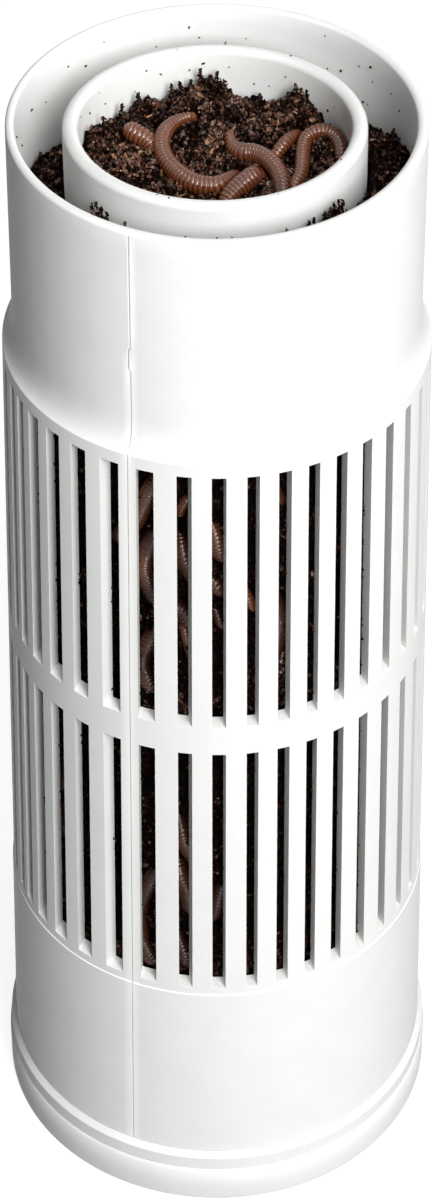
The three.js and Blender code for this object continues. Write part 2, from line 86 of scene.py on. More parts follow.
# Slots: share of the half turn on from the ridge, and width as a share of the usual one
SLOT_SHARES = np.array([
    [0.0253, 1.44], [0.0835, 1.17], [0.1336, 1.13], [0.1831, 0.98], [0.23, 1.04], [0.275, 0.98],
    [0.3212, 1.04], [0.369, 1.01], [0.4187, 0.98], [0.4694, 0.98], [0.518, 0.98], [0.567, 1.01],
    [0.6167, 1.05], [0.6561, 1.05], [0.6956, 1.1], [0.7383, 1.1], [0.7722, 1.15], [0.8142, 1.43],
    [0.8622, 1.54], [0.9142, 1.48], [0.9689, 1.65],
])

# How far each slot's inner edges stand aside of its outer edges, in the order of the slots
SLOT_LEANS = np.array([
    -1.4, -2.3, -0.95, -0.35, 0.2, 1.3, 2.0, 2.45, 3.2, 3.2, 2.4, 1.6, 0.6, -1.0, -2.0, -3.0, -3.6, -3.8,
    -3.2, -2.2, 0.8,
])

# How the collar's bore departs from a true round one towards the rim: shift and inward step
COLLAR_SET_TOP = 482.5
COLLAR_SHIFT = np.array([-0.4, 0.5, 0.0])
COLLAR_STEP_IN = 0.6

# Base cap
BASE_COLUMNS = 192
LEDGE_OUT = 2.1
LEDGE_DROP = 2.5
UPPER_RING_HEIGHT = 6.4
GROOVE_DEPTH = 0.4
GROOVE_HEIGHT = 0.9
STEP_OUT = 0.8
STEP_DROP = 1.3
FOOT_EDGE = 0.8
FLOOR_RAISE = 6.0
FLOOR_TOP = 9.0
RIB_COUNT = 8
RIB_THICK = 2.4
RIB_RAISE = 0.2
RIB_OVERRUN = 1.0
DRAIN_RADIUS = 3.0
DRAINS_OUTER = 12
OUTER_BAND = 5.5
DRAINS_INNER = 6
INNER_BAND = 6.0
DRAINS_INNER_SHARE = 0.45
SKIRT_WALL = 4.0
FOOT_RING_WALL = 4.0
LOCATING_RING_WALL = 2.4
LOCATING_RING_TOP = 17.0

# Feeding tube
TUBE_RADIUS = 54.3
TUBE_WALL = 5.0
TUBE_BORE = 49.3
TUBE_TOP = 483.2
TUBE_LEDGE_WALL = 8.0
TUBE_LEDGE_TOP = 12.3
DISC_TOP = 15.6
PORT_ROWS = 3
PORTS_PER_ROW = 12
PORT_WIDTH = 8.0
PORT_BRIDGE = 45.0
PORT_MARGIN = 40.0
PORT_LEVELS = 9

# How the tube leans and its lip thickens towards the rim
TUBE_SET_BOTTOM = 421.0
TUBE_SET_TOP = 480.2
TUBE_SHIFT = np.array([-0.7, 1.3, 0.9])
TUBE_STEP_IN = 0.7
RIM_SLANT = 0.038

# Worms
WORM_RADIUS = 4.0
SIDE_WORM_GIRTH = 4.1
THIN_WORM_GIRTH = 2.2
WORM_END_SHARE = 0.82
RING_PITCH = 1.3
BROAD_RING_PITCH = 1.55
RING_GROOVE_SHARE = 0.062
RING_GROOVE_SHARPNESS = 1.25
RING_UNEVENNESS = 0.12
RING_BEAT = 7.3
BLUNT_END_SHARE = 1.1
GIRTH_UNEVENNESS = 0.03
HUE_UNEVENNESS = 0.25

# Compost
HEAP_LEVEL = 462.5
HEAP_SLOPE = 0.1
HEAP_ROUGHNESS = 2.2
HEAP_WALL_TOP = 455.2
CREST_REACH = 45.2
BED_SHARE = 1.12
BESIDE_SHARE = 1.6
RING_BELOW_RIM = 26.5
RING_FALL = 14.0
RING_LEAN = 4.0
RING_ROUGHNESS = 1.4
RING_WALL_TOP = 426.8
WALL_DENT = 3.2
WALL_DENT_CHANGE = 3.0
SIDE_BED_DEPTH = 6.0
SIDE_BED_REACH = 6.4
SLOT_REACH_DEG = 3.9
SOIL_COLUMNS = 400
FIT = 0.3
SOIL_FIT = 0.5

# Where the heap is drawn up to its crest: from what radius or place back, and over what width
CREST_PULL_OUT = (31, 13)
CREST_PULL_BACK = (-2, 14)

# Most lumps that one piece may hold, and the least and most of a lump's size along its axes
MOST_LUMPS = 9900
CRUMB_SHAPE = ([0.5, 0.5, 0.9], [1.0, 1.0, 1.9])
TUFT_SHAPE = ([0.55, 0.55, 0.9], [1.0, 1.0, 1.8])
CHIP_SHAPE = ([0.5, 0.5, 0.8], [1.0, 1.0, 1.5])
SPECK_SHAPE = ([0.6, 0.6, 0.8], [1.0, 1.0, 1.5])

# Crest of the heap along the back of the tube: places across, and heights
CREST_X = [
    -49, -45, -40, -33, -28, -22, -16, -10, -5, 1, 5, 8, 14, 20, 24, 29, 33, 36, 41, 45, 49,
]
CREST_Z = [
    468, 468.8, 463.5, 463.3, 465.8, 461.5, 464.3, 465.8, 468.2, 467, 463.8, 461.6, 462.4, 460.5, 464.5,
    469, 468.2, 466.5, 463.5, 465.5, 465.5,
]

# Spiky tufts along that crest: place across, and height of the tip
CREST_TUFTS = [
    [-44, 476.1], [-40.8, 474.3], [-34.5, 473.2], [-28.6, 473.9], [-25, 471.5], [-16.6, 472.8],
    [-13.5, 473.3], [-9.5, 473.4], [-6, 477.5], [-2.4, 475.0], [0.1, 476.4], [2.6, 473.0], [15.8, 468.6],
    [25.8, 473.0], [28.4, 478.0], [30.5, 477.0], [32.4, 477.5], [34.5, 472.0],
]

# Rises in the heap: place across and back, height and width. Crumbs on a rise get painted light, in a
# hollow painted shade
HEAP_RISES = [
    [-8, 38, 2.0, 5], [-4.5, 29, 3.0, 4], [-1, 20, 3.4, 4], [1.2, 12, 3.2, 3.4], [3.2, 4, 2.4, 3],
    [-9, 15, -4.0, 5.5], [-36, 6, 2.4, 6], [-30, -8, 1.6, 6], [16, 27, 2.4, 5], [28, 32, 2.0, 4],
    [13, 16, -3.2, 5], [36, 7, -3.6, 5], [-26, 32, -2.0, 4], [19, 2, -2.0, 4], [-27, 12, -1.5, 3],
]

# Pale fibres on the heap: place across and back, direction and length
HEAP_FIBRES = [
    [-24, 36, 30, 6], [-6, 36, -40, 5], [13, 26, 28, 4], [24, 27, -25, 6], [27, 20, 10, 4],
    [-12, -14, 20, 4], [38, 30, -15, 3], [-2, 14, -50, 4],
]

# Tufts of compost round the tube: azimuth, radius, height of the tip, width
RING_TUFTS = [
    [-49, 57.5, 477.6, 2.6], [-46.5, 57.6, 479.2, 2.6], [-44, 57.8, 478.6, 2.4],
    [-41.5, 57.8, 477.6, 2.2], [-34, 57.0, 476.4, 1.2], [41, 57.4, 477.8, 2.2], [43, 57.5, 478.6, 2.4],
    [45, 57.6, 479.4, 2.6], [47, 57.6, 479.6, 2.6], [49, 57.8, 479.0, 2.4], [34, 57.0, 476.8, 1.4],
    [36, 57.0, 477.4, 1.4], [25, 57.0, 476.4, 1.2], [0, 57.0, 476.6, 1.2], [5, 57.0, 476.4, 1.2],
    [-11, 57.0, 476.1, 1.2], [112, 69.0, 464.5, 2.4], [114, 68.0, 461.5, 2.6], [104, 69.0, 463.6, 1.8],
    [116, 63.0, 461.6, 2.0], [-110, 68.5, 456.0, 1.8], [-100, 63.0, 459.5, 1.8],
    [-106, 60.0, 459.0, 1.6],
]

# Specks of compost on the white walls: azimuth and height, or azimuth and radius on the rim
COLLAR_SPECKS = [
    [-172, 477.9], [177, 471.2], [171, 473.1], [-145, 479.6], [-131, 476.5], [146, 481.8], [128, 478.3],
    [131, 461.1], [129, 461.3], [117, 474.4], [-111, 471.9], [-95, 473.7], [127, 472.6], [112, 470.9],
    [107, 459.7], [-138, 472.7], [-175, 473.1], [-162, 471.3], [140, 469.6], [145, 468.0], [133, 475.5],
    [-102, 464.0], [99, 466.0], [-120, 468.5],
]
TUBE_SPECKS = [
    [-149, 478.4], [-156, 475.1], [174, 475.8], [-121, 479.2], [-125, 472.8], [123, 470.6], [156, 470.0],
    [-100, 479.7], [-143, 471.1], [-169, 475.0], [-175, 477.4], [106, 462.2], [133, 467.6], [134, 468.7],
    [163, 469.6], [118, 474.5], [-112, 475.0], [148, 476.0],
]
RIM_SPECKS = [
    [176, 53.2], [-164, 50.9], [-23, 51.5], [-18, 51.9], [25, 52.0], [148, 52.3], [61, 51.0],
]

# Worms on the heap: places across, back and up, and the radius there
TOP_WORMS = [
    [
        [-33.8, 21.4, 467.6, 3.5], [-31.4, 20.1, 467.3, 3.85], [-28.4, 18.2, 466.6, 3.9],
        [-25.6, 16.8, 465.6, 3.75], [-23.2, 15.0, 463.6, 3.5], [-21.1, 13.0, 460.4, 3.2],
        [-19.3, 10.6, 457.4, 2.9],
    ],
    [
        [-5.9, 29.3, 462.4, 1.6], [-9.0, 29.3, 466.9, 1.8], [-12.4, 27.7, 467.3, 2.2],
        [-15.5, 25.1, 467.2, 2.6], [-18.6, 20.5, 466.8, 3.1], [-19.9, 15.1, 466.3, 3.2],
        [-19.7, 10.1, 465.8, 3.3], [-18.4, 5.0, 465.3, 3.45], [-16.1, 0.5, 464.7, 3.6],
        [-12.9, -3.9, 464.3, 3.75], [-9.1, -7.2, 463.9, 3.85], [-4.8, -9.0, 463.7, 3.9],
        [-0.6, -8.6, 463.5, 3.5], [3.1, -5.2, 463.2, 2.9], [6.4, -1.1, 462.4, 2.3],
        [9.1, 2.0, 458.7, 2.0],
    ],
    [
        [5.0, 18.0, 468.7, 1.9], [4.5, 15.6, 467.3, 2.2], [5.8, 11.3, 466.2, 2.9],
        [8.9, 8.0, 466.3, 3.45], [12.6, 6.3, 467.1, 3.6], [16.0, 3.4, 467.8, 3.45],
        [19.1, -1.0, 468.3, 3.4], [21.4, -5.6, 468.0, 3.35], [22.7, -10.3, 467.2, 3.3],
        [23.2, -14.6, 466.0, 3.2], [23.0, -19.0, 464.4, 3.0],
    ],
    [
        [1.8, -16.6, 459.4, 3.4], [4.3, -13.6, 462.0, 3.7], [7.7, -10.4, 463.9, 3.95],
        [11.0, -7.1, 464.8, 4.0], [13.3, -4.4, 464.4, 3.95], [14.9, -3.3, 462.0, 3.8],
        [15.7, -4.2, 458.0, 3.6], [16.0, -6.6, 453.8, 3.4],
    ],
    [
        [30.4, 23.6, 461.9, 2.4], [28.5, 20.5, 464.7, 2.5], [25.8, 16.5, 465.8, 2.6],
        [23.4, 12.9, 465.4, 2.6], [21.5, 10.7, 463.8, 2.5], [19.9, 8.9, 460.4, 2.4],
    ],
    [
        [26.1, -11.7, 462.1, 2.7], [27.7, -8.1, 463.5, 2.75], [29.5, -4.0, 464.1, 2.8],
        [30.3, 1.3, 464.7, 2.8], [30.7, 6.9, 465.4, 2.8], [31.1, 11.7, 466.2, 2.8],
        [32.3, 15.6, 467.3, 2.85], [34.8, 17.4, 468.2, 2.9], [37.5, 17.9, 468.6, 2.9],
        [40.3, 17.4, 468.2, 2.9], [42.6, 15.1, 467.5, 2.95], [44.1, 12.0, 466.9, 2.9],
        [44.6, 8.4, 465.6, 2.85], [44.4, 4.8, 462.4, 2.7],
    ],
]

# Worms behind the slots: shares of the half turn and of the slots' height, and depth in radii
SIDE_WORM_SHARES = [
    [
        [0.04, 0.965, 1.2], [0.02, 0.936, 0], [0.006, 0.908, 0], [-0.007, 0.88, 0], [-0.028, 0.848, 0],
        [-0.052, 0.818, 1],
    ],
    [
        [0.042, 0.878, 1.6], [0.024, 0.85, 0], [0.012, 0.822, -0.04], [0.007, 0.794, -0.04],
        [0.014, 0.768, 0], [0.03, 0.744, 0], [0.05, 0.734, 0], [0.07, 0.726, 0], [0.086, 0.709, 0],
        [0.108, 0.688, 1.4],
    ],
    [
        [0.04, 0.687, 1.2], [0.018, 0.662, 0], [0.004, 0.632, 0], [0.003, 0.605, 0], [0.016, 0.579, 0],
        [0.04, 0.56, 1.2],
    ],
    [
        [0.062, 0.86, 1.4], [0.072, 0.838, 0], [0.082, 0.812, 0], [0.1, 0.79, 0], [0.119, 0.786, 0],
        [0.132, 0.775, 0], [0.148, 0.752, 1.2],
    ],
    [
        [0.036, 0.214, 1.4], [0.018, 0.18, 0], [0, 0.135, 0], [-0.007, 0.084, 0], [-0.002, 0.04, 0],
        [0.018, 0.009, 0], [0.042, -0.005, 1.2],
    ],
    [[0.056, 0.222, 1.6], [0.066, 0.206, 0], [0.077, 0.176, 0], [0.086, 0.139, 0], [0.1, 0.118, 1.4]],
    [[0.05, 0.075, 1.4], [0.068, 0.045, 0.1], [0.08, 0.021, 0.1], [0.1, -0.005, 1.2]],
    [[0.155, 0.205, 1.2], [0.136, 0.17, 0], [0.127, 0.134, 0], [0.114, 0.09, 1.6]],
    [[0.108, 0.9, 1.2], [0.126, 0.872, 0], [0.136, 0.84, 0], [0.155, 0.812, 1.2]],
    [[0.05, 0.334, 1.6], [0.068, 0.3, 0], [0.078, 0.268, 0], [0.102, 0.236, 0], [0.125, 0.225, 1.4]],
    [[0.2, 0.79, 1.4], [0.22, 0.75, 0], [0.236, 0.7, 0], [0.226, 0.65, 0], [0.205, 0.61, 1.2]],
    [[0.56, 0.4, 1.2], [0.6, 0.36, 0], [0.63, 0.31, 0], [0.66, 0.28, 0], [0.7, 0.25, 1.2]],
    [[-0.62, 0.82, 1.2], [-0.66, 0.77, 0], [-0.71, 0.75, 0], [-0.74, 0.7, 0], [-0.77, 0.64, 1.2]],
    [[-0.14, 0.36, 1.2], [-0.17, 0.3, 0], [-0.2, 0.25, 0], [-0.19, 0.19, 0], [-0.16, 0.15, 1.2]],
]

# Thin worms of which a short stretch shows in a slot
THIN_WORM_SHARES = [
    [
        [0.066, 0.895, 0.3], [0.074, 0.922, -0.35], [0.084, 0.934, -0.38], [0.094, 0.922, -0.35],
        [0.102, 0.895, 0.3],
    ],
    [
        [0.068, 0.72, 0.3], [0.077, 0.698, -0.35], [0.084, 0.668, -0.38], [0.092, 0.642, -0.35],
        [0.1, 0.62, 0.3],
    ],
    [[0.12, 0.745, 0.3], [0.13, 0.729, -0.35], [0.139, 0.709, -0.38], [0.15, 0.698, 0.3]],
    [[0.17, 0.775, 0.3], [0.179, 0.76, -0.35], [0.188, 0.74, -0.38], [0.198, 0.725, 0.3]],
    [[0.218, 0.96, 0.3], [0.226, 0.944, -0.3], [0.235, 0.926, -0.3], [0.245, 0.91, 0.3]],
    [[0.215, 0.62, 0.3], [0.224, 0.608, -0.35], [0.236, 0.622, -0.35], [0.247, 0.64, 0.3]],
]

# Colours of compost and of worm skin, from dark to pale; the dark ends also serve as painted shade
COMPOST_COLOURS = [
    (0.10, (0.0030, 0.0013, 0.0009)), (0.36, (0.026, 0.0100, 0.0055)), (0.60, (0.095, 0.036, 0.019)),
    (0.85, (0.22, 0.092, 0.046)), (1.0, (0.36, 0.20, 0.10)),
]
SKIN_COLOURS = [
    (0.0, (0.020, 0.004, 0.0015)), (0.5, (0.175, 0.050, 0.016)), (0.85, (0.25, 0.090, 0.035)),
    (1.0, (0.40, 0.20, 0.11)),
]
SKIN_GROOVE_COLOUR = (0.022, 0.0045, 0.002, 1)

# Lamps: name, azimuth and elevation in degrees, distance, width and height in metres, and level
SOFTBOXES = [
    ("key softbox", 21, 36, 2.4, 1.0, 1.0, 1.0),
    ("low front softbox", 8, 4, 2.4, 0.9, 0.6, 0.3),
    ("high softbox", 30, 58, 2.4, 0.7, 0.7, 0.22),
    ("side softbox", 85, 22, 2.4, 0.9, 1.3, 0.21),
    ("overhead softbox", 0, 84, 2.2, 0.6, 0.6, 0.17),
    ("rear softbox", 170, 10, 2.4, 1.0, 1.0, 0.28),
]
LAMP_TARGET_HEIGHT = 0.3

# Camera
LENS = 111.62
SENSOR_WIDTH = 36.0
CAMERA_PLACE = (0, -1.09437, 1.23405)
CAMERA_DOWN = 0.7282


def collar_radius(z):
    """Outer radius of the collar, which widens a little downwards."""
    return COLLAR_RADIUS + (RIM - z) * math.tan(math.radians(COLLAR_DRAFT_DEG))


CAGE_TOP_RADIUS = collar_radius(COLLAR_FOOT) + SHOULDER_STEP


def cage_radius(z):
    """Outer radius of the slotted cage and of the foot, before the foot's small step."""
    return CAGE_TOP_RADIUS + (CAGE_TOP - z) * math.tan(math.radians(CAGE_DRAFT_DEG))


SPIGOT_RADIUS = cage_radius(BASE_HEIGHT) - SPIGOT_INSET
SOCKET_RADIUS = SPIGOT_RADIUS + FIT


def tower_bore(z):
    """Inner radius of the tower at each height: straight tapers with a cone at the shoulder."""
    return np.interp(z, [0.0, CAGE_TOP, COLLAR_FOOT, RIM], [
        cage_radius(0.0) - CAGE_WALL, CAGE_TOP_RADIUS - CAGE_WALL,
        collar_radius(COLLAR_FOOT) - COLLAR_WALL, COLLAR_RADIUS - COLLAR_WALL,
    ])


def from_seam(share):
    """Azimuth in degrees at a share of the half turn on from the front parting ridge."""
    return SEAM_AZIMUTH_DEG + share * HALF_TURN_DEG


def round_points(radius, azimuth, z):
    """Points at a radius, an azimuth in radians from the front, and a height."""
    radius, azimuth, z = np.broadcast_arrays(radius, azimuth, z)
    return np.stack([radius * np.sin(azimuth), -radius * np.cos(azimuth), z], axis=-1)


def full_turn(count):
    """Azimuths in radians, evenly spread right round."""
    return np.linspace(0, 2 * np.pi, count, endpoint=False)


def eased(value):
    """0 below 0, 1 above 1 and a smooth step between them."""
    value = np.clip(value, 0, 1)
    return value * value * (3 - 2 * value)


# Random unevenness

def lattice_noise(points, cell, seed):
    """Smooth random value from -1 to 1 at each point.

    Every corner of a cubic lattice of that cell has a fixed random value, and a point takes the
    mean of its cell's eight corners, weighted by eased distance.
    """
    place = np.asarray(points, dtype=float) / cell
    corner = np.floor(place).astype(np.int64)
    share = eased(place - corner)
    total = np.zeros(place.shape[:-1])
    for step in itertools.product((0, 1), repeat=3):
        at = corner + np.array(step)
        code = at[..., 0] * 374761393 + at[..., 1] * 668265263 + at[..., 2] * 1274126177 + seed * 144665
        code = (code ^ (code >> 13)) * 1103515245
        code = (code ^ (code >> 16)) & 0xFFFF
        weight = np.prod(np.where(step, share, 1 - share), axis=-1)
        total += weight * (code / 32767.5 - 1)
    return total


def rough(points, cell, octaves, seed):
    """Sum of lattice noises, each with half the cell and 0.6 of the strength of the one before."""
    total = np.zeros(np.asarray(points).shape[:-1])
    for octave in range(octaves):
        total += 0.6 ** octave * lattice_noise(points, cell / 2 ** octave, seed + octave)
    return total


# Meshes

def grid_faces(rows, columns, close_rows=False, close_columns=False):
    """Quads between the neighbouring rows and columns of a grid of points."""
    row, column = np.indices((rows - (not close_rows), columns - (not close_columns)))
    here, up = row * columns, (row + 1) % rows * columns
    on = (column + 1) % columns
    return np.stack([here + column, here + on, up + on, up + column], axis=-1).reshape(-1, 4)


def capped_faces(rows, columns):
    """Quads of a grid whose columns close, and a cap on its first and on its last row."""
    first = list(range(columns))[::-1]
    last = list(range((rows - 1) * columns, rows * columns))
    return [*grid_faces(rows, columns, False, True).tolist(), first, last]


def made_mesh(name, points, faces, finish, smooth_deg=40.0, values=None):
    """An object from points in millimetres and lists of faces, smooth up to an angle."""
    mesh = bpy.data.meshes.new(name)
    mesh.from_pydata((np.asarray(points).reshape(-1, 3) * MM).tolist(), [], faces)
    for key, value in (values or {}).items():
        layer = mesh.attributes.new(key, "FLOAT", "POINT")
        layer.data.foreach_set("value", np.asarray(value, dtype=np.float32).ravel())
    mesh.materials.append(finish)
    mesh.validate()
    mesh.shade_smooth()
    mesh.set_sharp_from_angle(angle=math.radians(smooth_deg))
    made = bpy.data.objects.new(name, mesh)
    bpy.context.scene.collection.objects.link(made)
    return made


def moulding(name, points, faces):
    """A white moulding with small rounded edges where faces meet at more than 40 degrees."""
    made = made_mesh(name, points, faces, WHITE)
    bevel = made.modifiers.new("edge", "BEVEL")
    bevel.width = EDGE_ROUND * MM
    bevel.segments = 2
    bevel.limit_method = "ANGLE"
    bevel.angle_limit = math.radians(40.0)
    bevel.harden_normals = True
    return made


# Finishes

def feed(tree, node, inputs):
    """Sets the inputs of a node to values, or links them to outputs."""
    for key, value in inputs.items():
        if isinstance(value, bpy.types.NodeSocket):
            tree.links.new(value, node.inputs[key])
        else:
            node.inputs[key].default_value = value


def add_node(tree, kind, inputs, output, **settings):
    """A new node with its settings and inputs, as the output that others read."""
    node = tree.nodes.new(kind)
    for key, value in settings.items():
        setattr(node, key, value)
    feed(tree, node, inputs)
    return node.outputs[output]


def new_finish(name):
    """A new material with its node tree and its shader."""
    material = bpy.data.materials.new(name)
    material.use_nodes = True
    return material, material.node_tree, material.node_tree.nodes["Principled BSDF"]


def object_place(tree):
    """The object's own coordinates."""
    return add_node(tree, "ShaderNodeTexCoord", {}, "Object")


def object_noise(tree, scale, detail=3.0):
    """Noise over the object's own coordinates."""
    inputs = {"Vector": object_place(tree), "Scale": scale, "Detail": detail}
    return add_node(tree, "ShaderNodeTexNoise", inputs, "Fac")


def attribute(tree, name):
    """A value that the mesh holds at each point."""
    return add_node(tree, "ShaderNodeAttribute", {}, "Fac", attribute_name=name)


def ramp(tree, source, stops):
    """Colours along a value, from a list of places and colours."""
    colour_out = add_node(tree, "ShaderNodeValToRGB", {"Fac": source}, "Color")
    elements = colour_out.node.color_ramp.elements
    while len(elements) < len(stops):
        elements.new(0.5)
    for element, (place, colour) in zip(elements, stops):
        element.position = place
        element.color = (*colour, 1)
    return colour_out


def moulded_white(name, colour, shine):
    """White plastic: a faint mottle in its colour and a fine uneven gloss."""
    material, tree, shader = new_finish(name)
    darker = tuple(c * 0.975 for c in colour)
    grain = {"Height": object_noise(tree, 900.0), "Strength": 0.05, "Distance": 0.0002}
    feed(tree, shader, {
        "Base Color": ramp(tree, object_noise(tree, 60.0), [(0.35, darker), (0.65, colour)]),
        "Normal": add_node(tree, "ShaderNodeBump", grain, "Normal"),
        "Roughness": shine,
        "Specular IOR Level": 0.2,
    })
    return material


def compost_finish():
    """Moist compost: near black to reddish brown by each lump's own shade.

    A cell pattern makes crumbs of the plain surfaces: each cell has its own shade, and the joints
    between cells are low and darkened as painted shade. Only the paler crumbs shine.
    """
    material, tree, shader = new_finish("moist compost")
    cells = {"Vector": object_place(tree), "Scale": 620.0}
    distance = add_node(tree, "ShaderNodeTexVoronoi", cells, "Distance")
    colour = distance.node.outputs["Color"]
    own = add_node(tree, "ShaderNodeRGBToBW", {"Color": colour}, "Val")
    shade = attribute(tree, "shade")
    # The cells' own tone and the flecks are the compost's colour; the darkening towards the joints is
    # painted shade.
    for source, weight in ((own, 0.26), (distance, -0.24), (object_noise(tree, 1100.0, 4.0), 0.22)):
        inputs = {0: source, 1: weight, 2: shade}
        shade = add_node(tree, "ShaderNodeMath", inputs, "Value", operation="MULTIPLY_ADD")
    gloss = {"Value": shade, "From Min": 0.2, "From Max": 0.6, "To Min": 0.02, "To Max": 0.6}
    relief = {"Height": distance, "Strength": 0.9, "Distance": 0.0006}
    feed(tree, shader, {
        "Base Color": ramp(tree, shade, COMPOST_COLOURS),
        "Specular IOR Level": add_node(tree, "ShaderNodeMapRange", gloss, "Result"),
        "Normal": add_node(tree, "ShaderNodeBump", relief, "Normal", invert=True),
        "Roughness": 0.38,
    })
    return material


def worm_finish():
    """Wet worm skin: reddish brown on the rings, dark in the grooves, under a thin wet film.

    The film thins out where the hue is darkest.
    """
    material, tree, shader = new_finish("wet worm skin")
    hue = attribute(tree, "hue")
    ringed = {
        "Factor": attribute(tree, "groove"), "A": ramp(tree, hue, SKIN_COLOURS), "B": SKIN_GROOVE_COLOUR,
    }
    film = {"Value": hue, "From Max": 0.35, "To Min": 0.35}
    feed(tree, shader, {
        "Base Color": add_node(tree, "ShaderNodeMix", ringed, "Result", data_type="RGBA"),
        "Roughness": 0.5,
        "Specular IOR Level": 0.15,
        "Coat Weight": add_node(tree, "ShaderNodeMapRange", film, "Result"),
        "Coat Roughness": 0.11,
        "Subsurface Weight": 0.06,
        "Subsurface Radius": (0.002, 0.0007, 0.0004),
        "Subsurface Scale": 0.3,
    })
    return material


WHITE = moulded_white("moulded white plastic", (0.82, 0.825, 0.81), 0.5)
FLOOR_WHITE = moulded_white("matt white plastic", (0.84, 0.845, 0.83), 0.6)
COMPOST = compost_finish()
SKIN = worm_finish()


# White mouldings

def arc_points(r, z, radius, start, end, steps):
    """Points on a round stretch of a profile, between two angles in degrees."""
    angle = np.radians(np.linspace(start, end, steps + 1))
    return np.stack([r + radius * np.cos(angle), z + radius * np.sin(angle)], axis=-1)


def slotted_shell(profile, azimuths, offsets, openings, lift=0.0):
    """A closed shell turned from a profile, with upright openings that have parallel walls.

    Point (row, column) lies at the profile's radius and height. Its azimuth is the column's own
    plus the angle whose sine is the column's sideways offset over the radius. An opening drops
    the quads between two columns and two pairs of matching rows, outside and inside, and walls,
    a sill and a head close the gap between them.
    """
    radius, height = np.asarray(profile).T[:, :, None]
    turn = np.radians(azimuths) + np.arcsin(offsets / radius)
    points = round_points(radius + lift, turn, height)
    rows, columns = points.shape[:2]
    keep = np.ones((rows, columns), dtype=bool)
    extra = []
    for low, high, inner_low, left, right in openings:
        inner_high = inner_low - (high - low)
        keep[low:high, left:right] = False
        keep[inner_high:inner_low, left:right] = False
        out = np.arange(low, high) * columns
        back = inner_low * columns - (out - low * columns)
        wall = np.stack([out + columns, out, back, back - columns], axis=-1)
        across = np.arange(left, right)[:, None]
        sill = columns * np.array([low, low, inner_low, inner_low]) + [0, 1, 1, 0] + across
        head = columns * np.array([high, high, inner_high, inner_high]) + [1, 0, 0, 1] + across
        extra += [wall + left, wall[:, ::-1] + right, sill, head]
    faces = grid_faces(rows, columns, True, True)[keep.ravel()]
    return points, np.concatenate([faces, *extra]).tolist()


def tower_columns():
    """Azimuth, sideways offset and inner lean of each column, and where slots and ridges start."""
    columns, slots, ridges = [], [], []
    half_widths = SLOT_SHARES[:, 1] * SLOT_WIDTH / 2
    reaches = np.degrees(half_widths / (CAGE_TOP_RADIUS - CAGE_WALL / 2))
    for half in (0, 1):
        ridges.append(len(columns))
        ridge_lean = (SLOT_LEANS[-1] + SLOT_LEANS[0]) / 2
        columns += [(from_seam(half), side, ridge_lean) for side in RIDGE_SIDES]
        middles = from_seam(half + SLOT_SHARES[:, 0])
        for i, (middle, lean) in enumerate(zip(middles, SLOT_LEANS)):
            slots.append(len(columns))
            columns += [(middle, side * half_widths[i], lean) for side in (-1, 0, 1)]
            if i + 1 < len(middles):
                start, end = middle + reaches[i], middles[i + 1] - reaches[i + 1]
                turn, change = end - start, SLOT_LEANS[i + 1] - lean
                columns += [(start + step * turn, 0.0, lean + step * change) for step in (0.25, 0.5, 0.75)]
    return *np.array(columns).T, slots, ridges


def tower_profile():
    """The tower's closed profile: up the outside, over the rounded rim and down the bore."""
    lower, upper = [np.linspace(*row, SLOT_STEPS + 1) for row in SLOT_ROWS]
    band = np.linspace(BASE_HEIGHT + FIT, FOOT_BAND_TOP - FOOT_BAND_PROUD, 8)
    outside = [[SPIGOT_RADIUS, FLOOR_TOP + FIT], [SPIGOT_RADIUS, BASE_HEIGHT + FIT]]
    outside += [[cage_radius(z) + FOOT_BAND_PROUD, z] for z in band]
    low = len(outside) + 1
    outside += [[cage_radius(z), z] for z in (FOOT_BAND_TOP, *lower, *upper)]
    foot = collar_radius(COLLAR_FOOT)
    share = np.linspace(0, 1, 15)[:, None]
    knee = np.array([[CAGE_TOP_RADIUS, CAGE_TOP], [foot, CAGE_TOP + SHOULDER_STEP], [foot, COLLAR_FOOT]])
    shoulder = (1 - share) ** 2 * knee[0] + 2 * share * (1 - share) * knee[1] + share ** 2 * knee[2]
    lip = COLLAR_WALL / 2
    low_jog, high_jog = RIDGE_JOG
    plain = np.linspace(high_jog + 1.0, RIM - lip, 8)[:-1]
    collar = [[collar_radius(z), z] for z in (COLLAR_SPLIT, low_jog - 1.0, low_jog, high_jog, *plain)]
    outside += [*shoulder.tolist(), *collar]
    rim = arc_points(collar_radius(RIM - lip) - lip, RIM - lip, lip, 0, 180, 10)
    above = [*np.linspace(RIM - lip, COLLAR_FOOT, 9)[1:], CAGE_TOP]
    below = [*upper[::-1], *lower[::-1], FOOT_BAND_TOP, FOOT_SPLIT, FLOOR_TOP + FIT]
    inner_top = len(outside) + len(rim) + len(above)
    profile = np.concatenate([outside, rim, [[tower_bore(z), z] for z in above + below]])
    lower_span = (low, low + SLOT_STEPS, inner_top + 2 * SLOT_STEPS + 1)
    upper_span = (low + SLOT_STEPS + 1, low + 2 * SLOT_STEPS + 1, inner_top + SLOT_STEPS)
    return profile, (lower_span, upper_span), slice(2, len(outside))


def collar_set(points):
    """Points of the collar, with its bore drawn in and set back a little towards the rim."""
    reach = np.hypot(points[..., 0], points[..., 1])
    near_rim = eased((points[..., 2] - COLLAR_FOOT) / (COLLAR_SET_TOP - COLLAR_FOOT))
    inner = eased((collar_radius(points[..., 2]) - reach) / COLLAR_WALL)
    share = (near_rim * inner)[..., None]
    moved = points + share * COLLAR_SHIFT
    moved[..., :2] -= share * COLLAR_STEP_IN * points[..., :2] / reach[..., None]
    return moved


def tube_set(points):
    """Points of the tube, which leans back a little and has a thicker lip at its slanted rim."""
    reach = np.hypot(points[..., 0], points[..., 1])
    near_rim = eased((points[..., 2] - TUBE_SET_BOTTOM) / (TUBE_SET_TOP - TUBE_SET_BOTTOM))[..., None]
    inner = eased((TUBE_RADIUS - reach) / TUBE_WALL)[..., None]
    moved = points + near_rim * TUBE_SHIFT
    moved[..., 2:] -= near_rim * RIM_SLANT * points[..., 1:2]
    moved[..., :2] -= near_rim * inner * TUBE_STEP_IN * points[..., :2] / reach[..., None]
    return moved


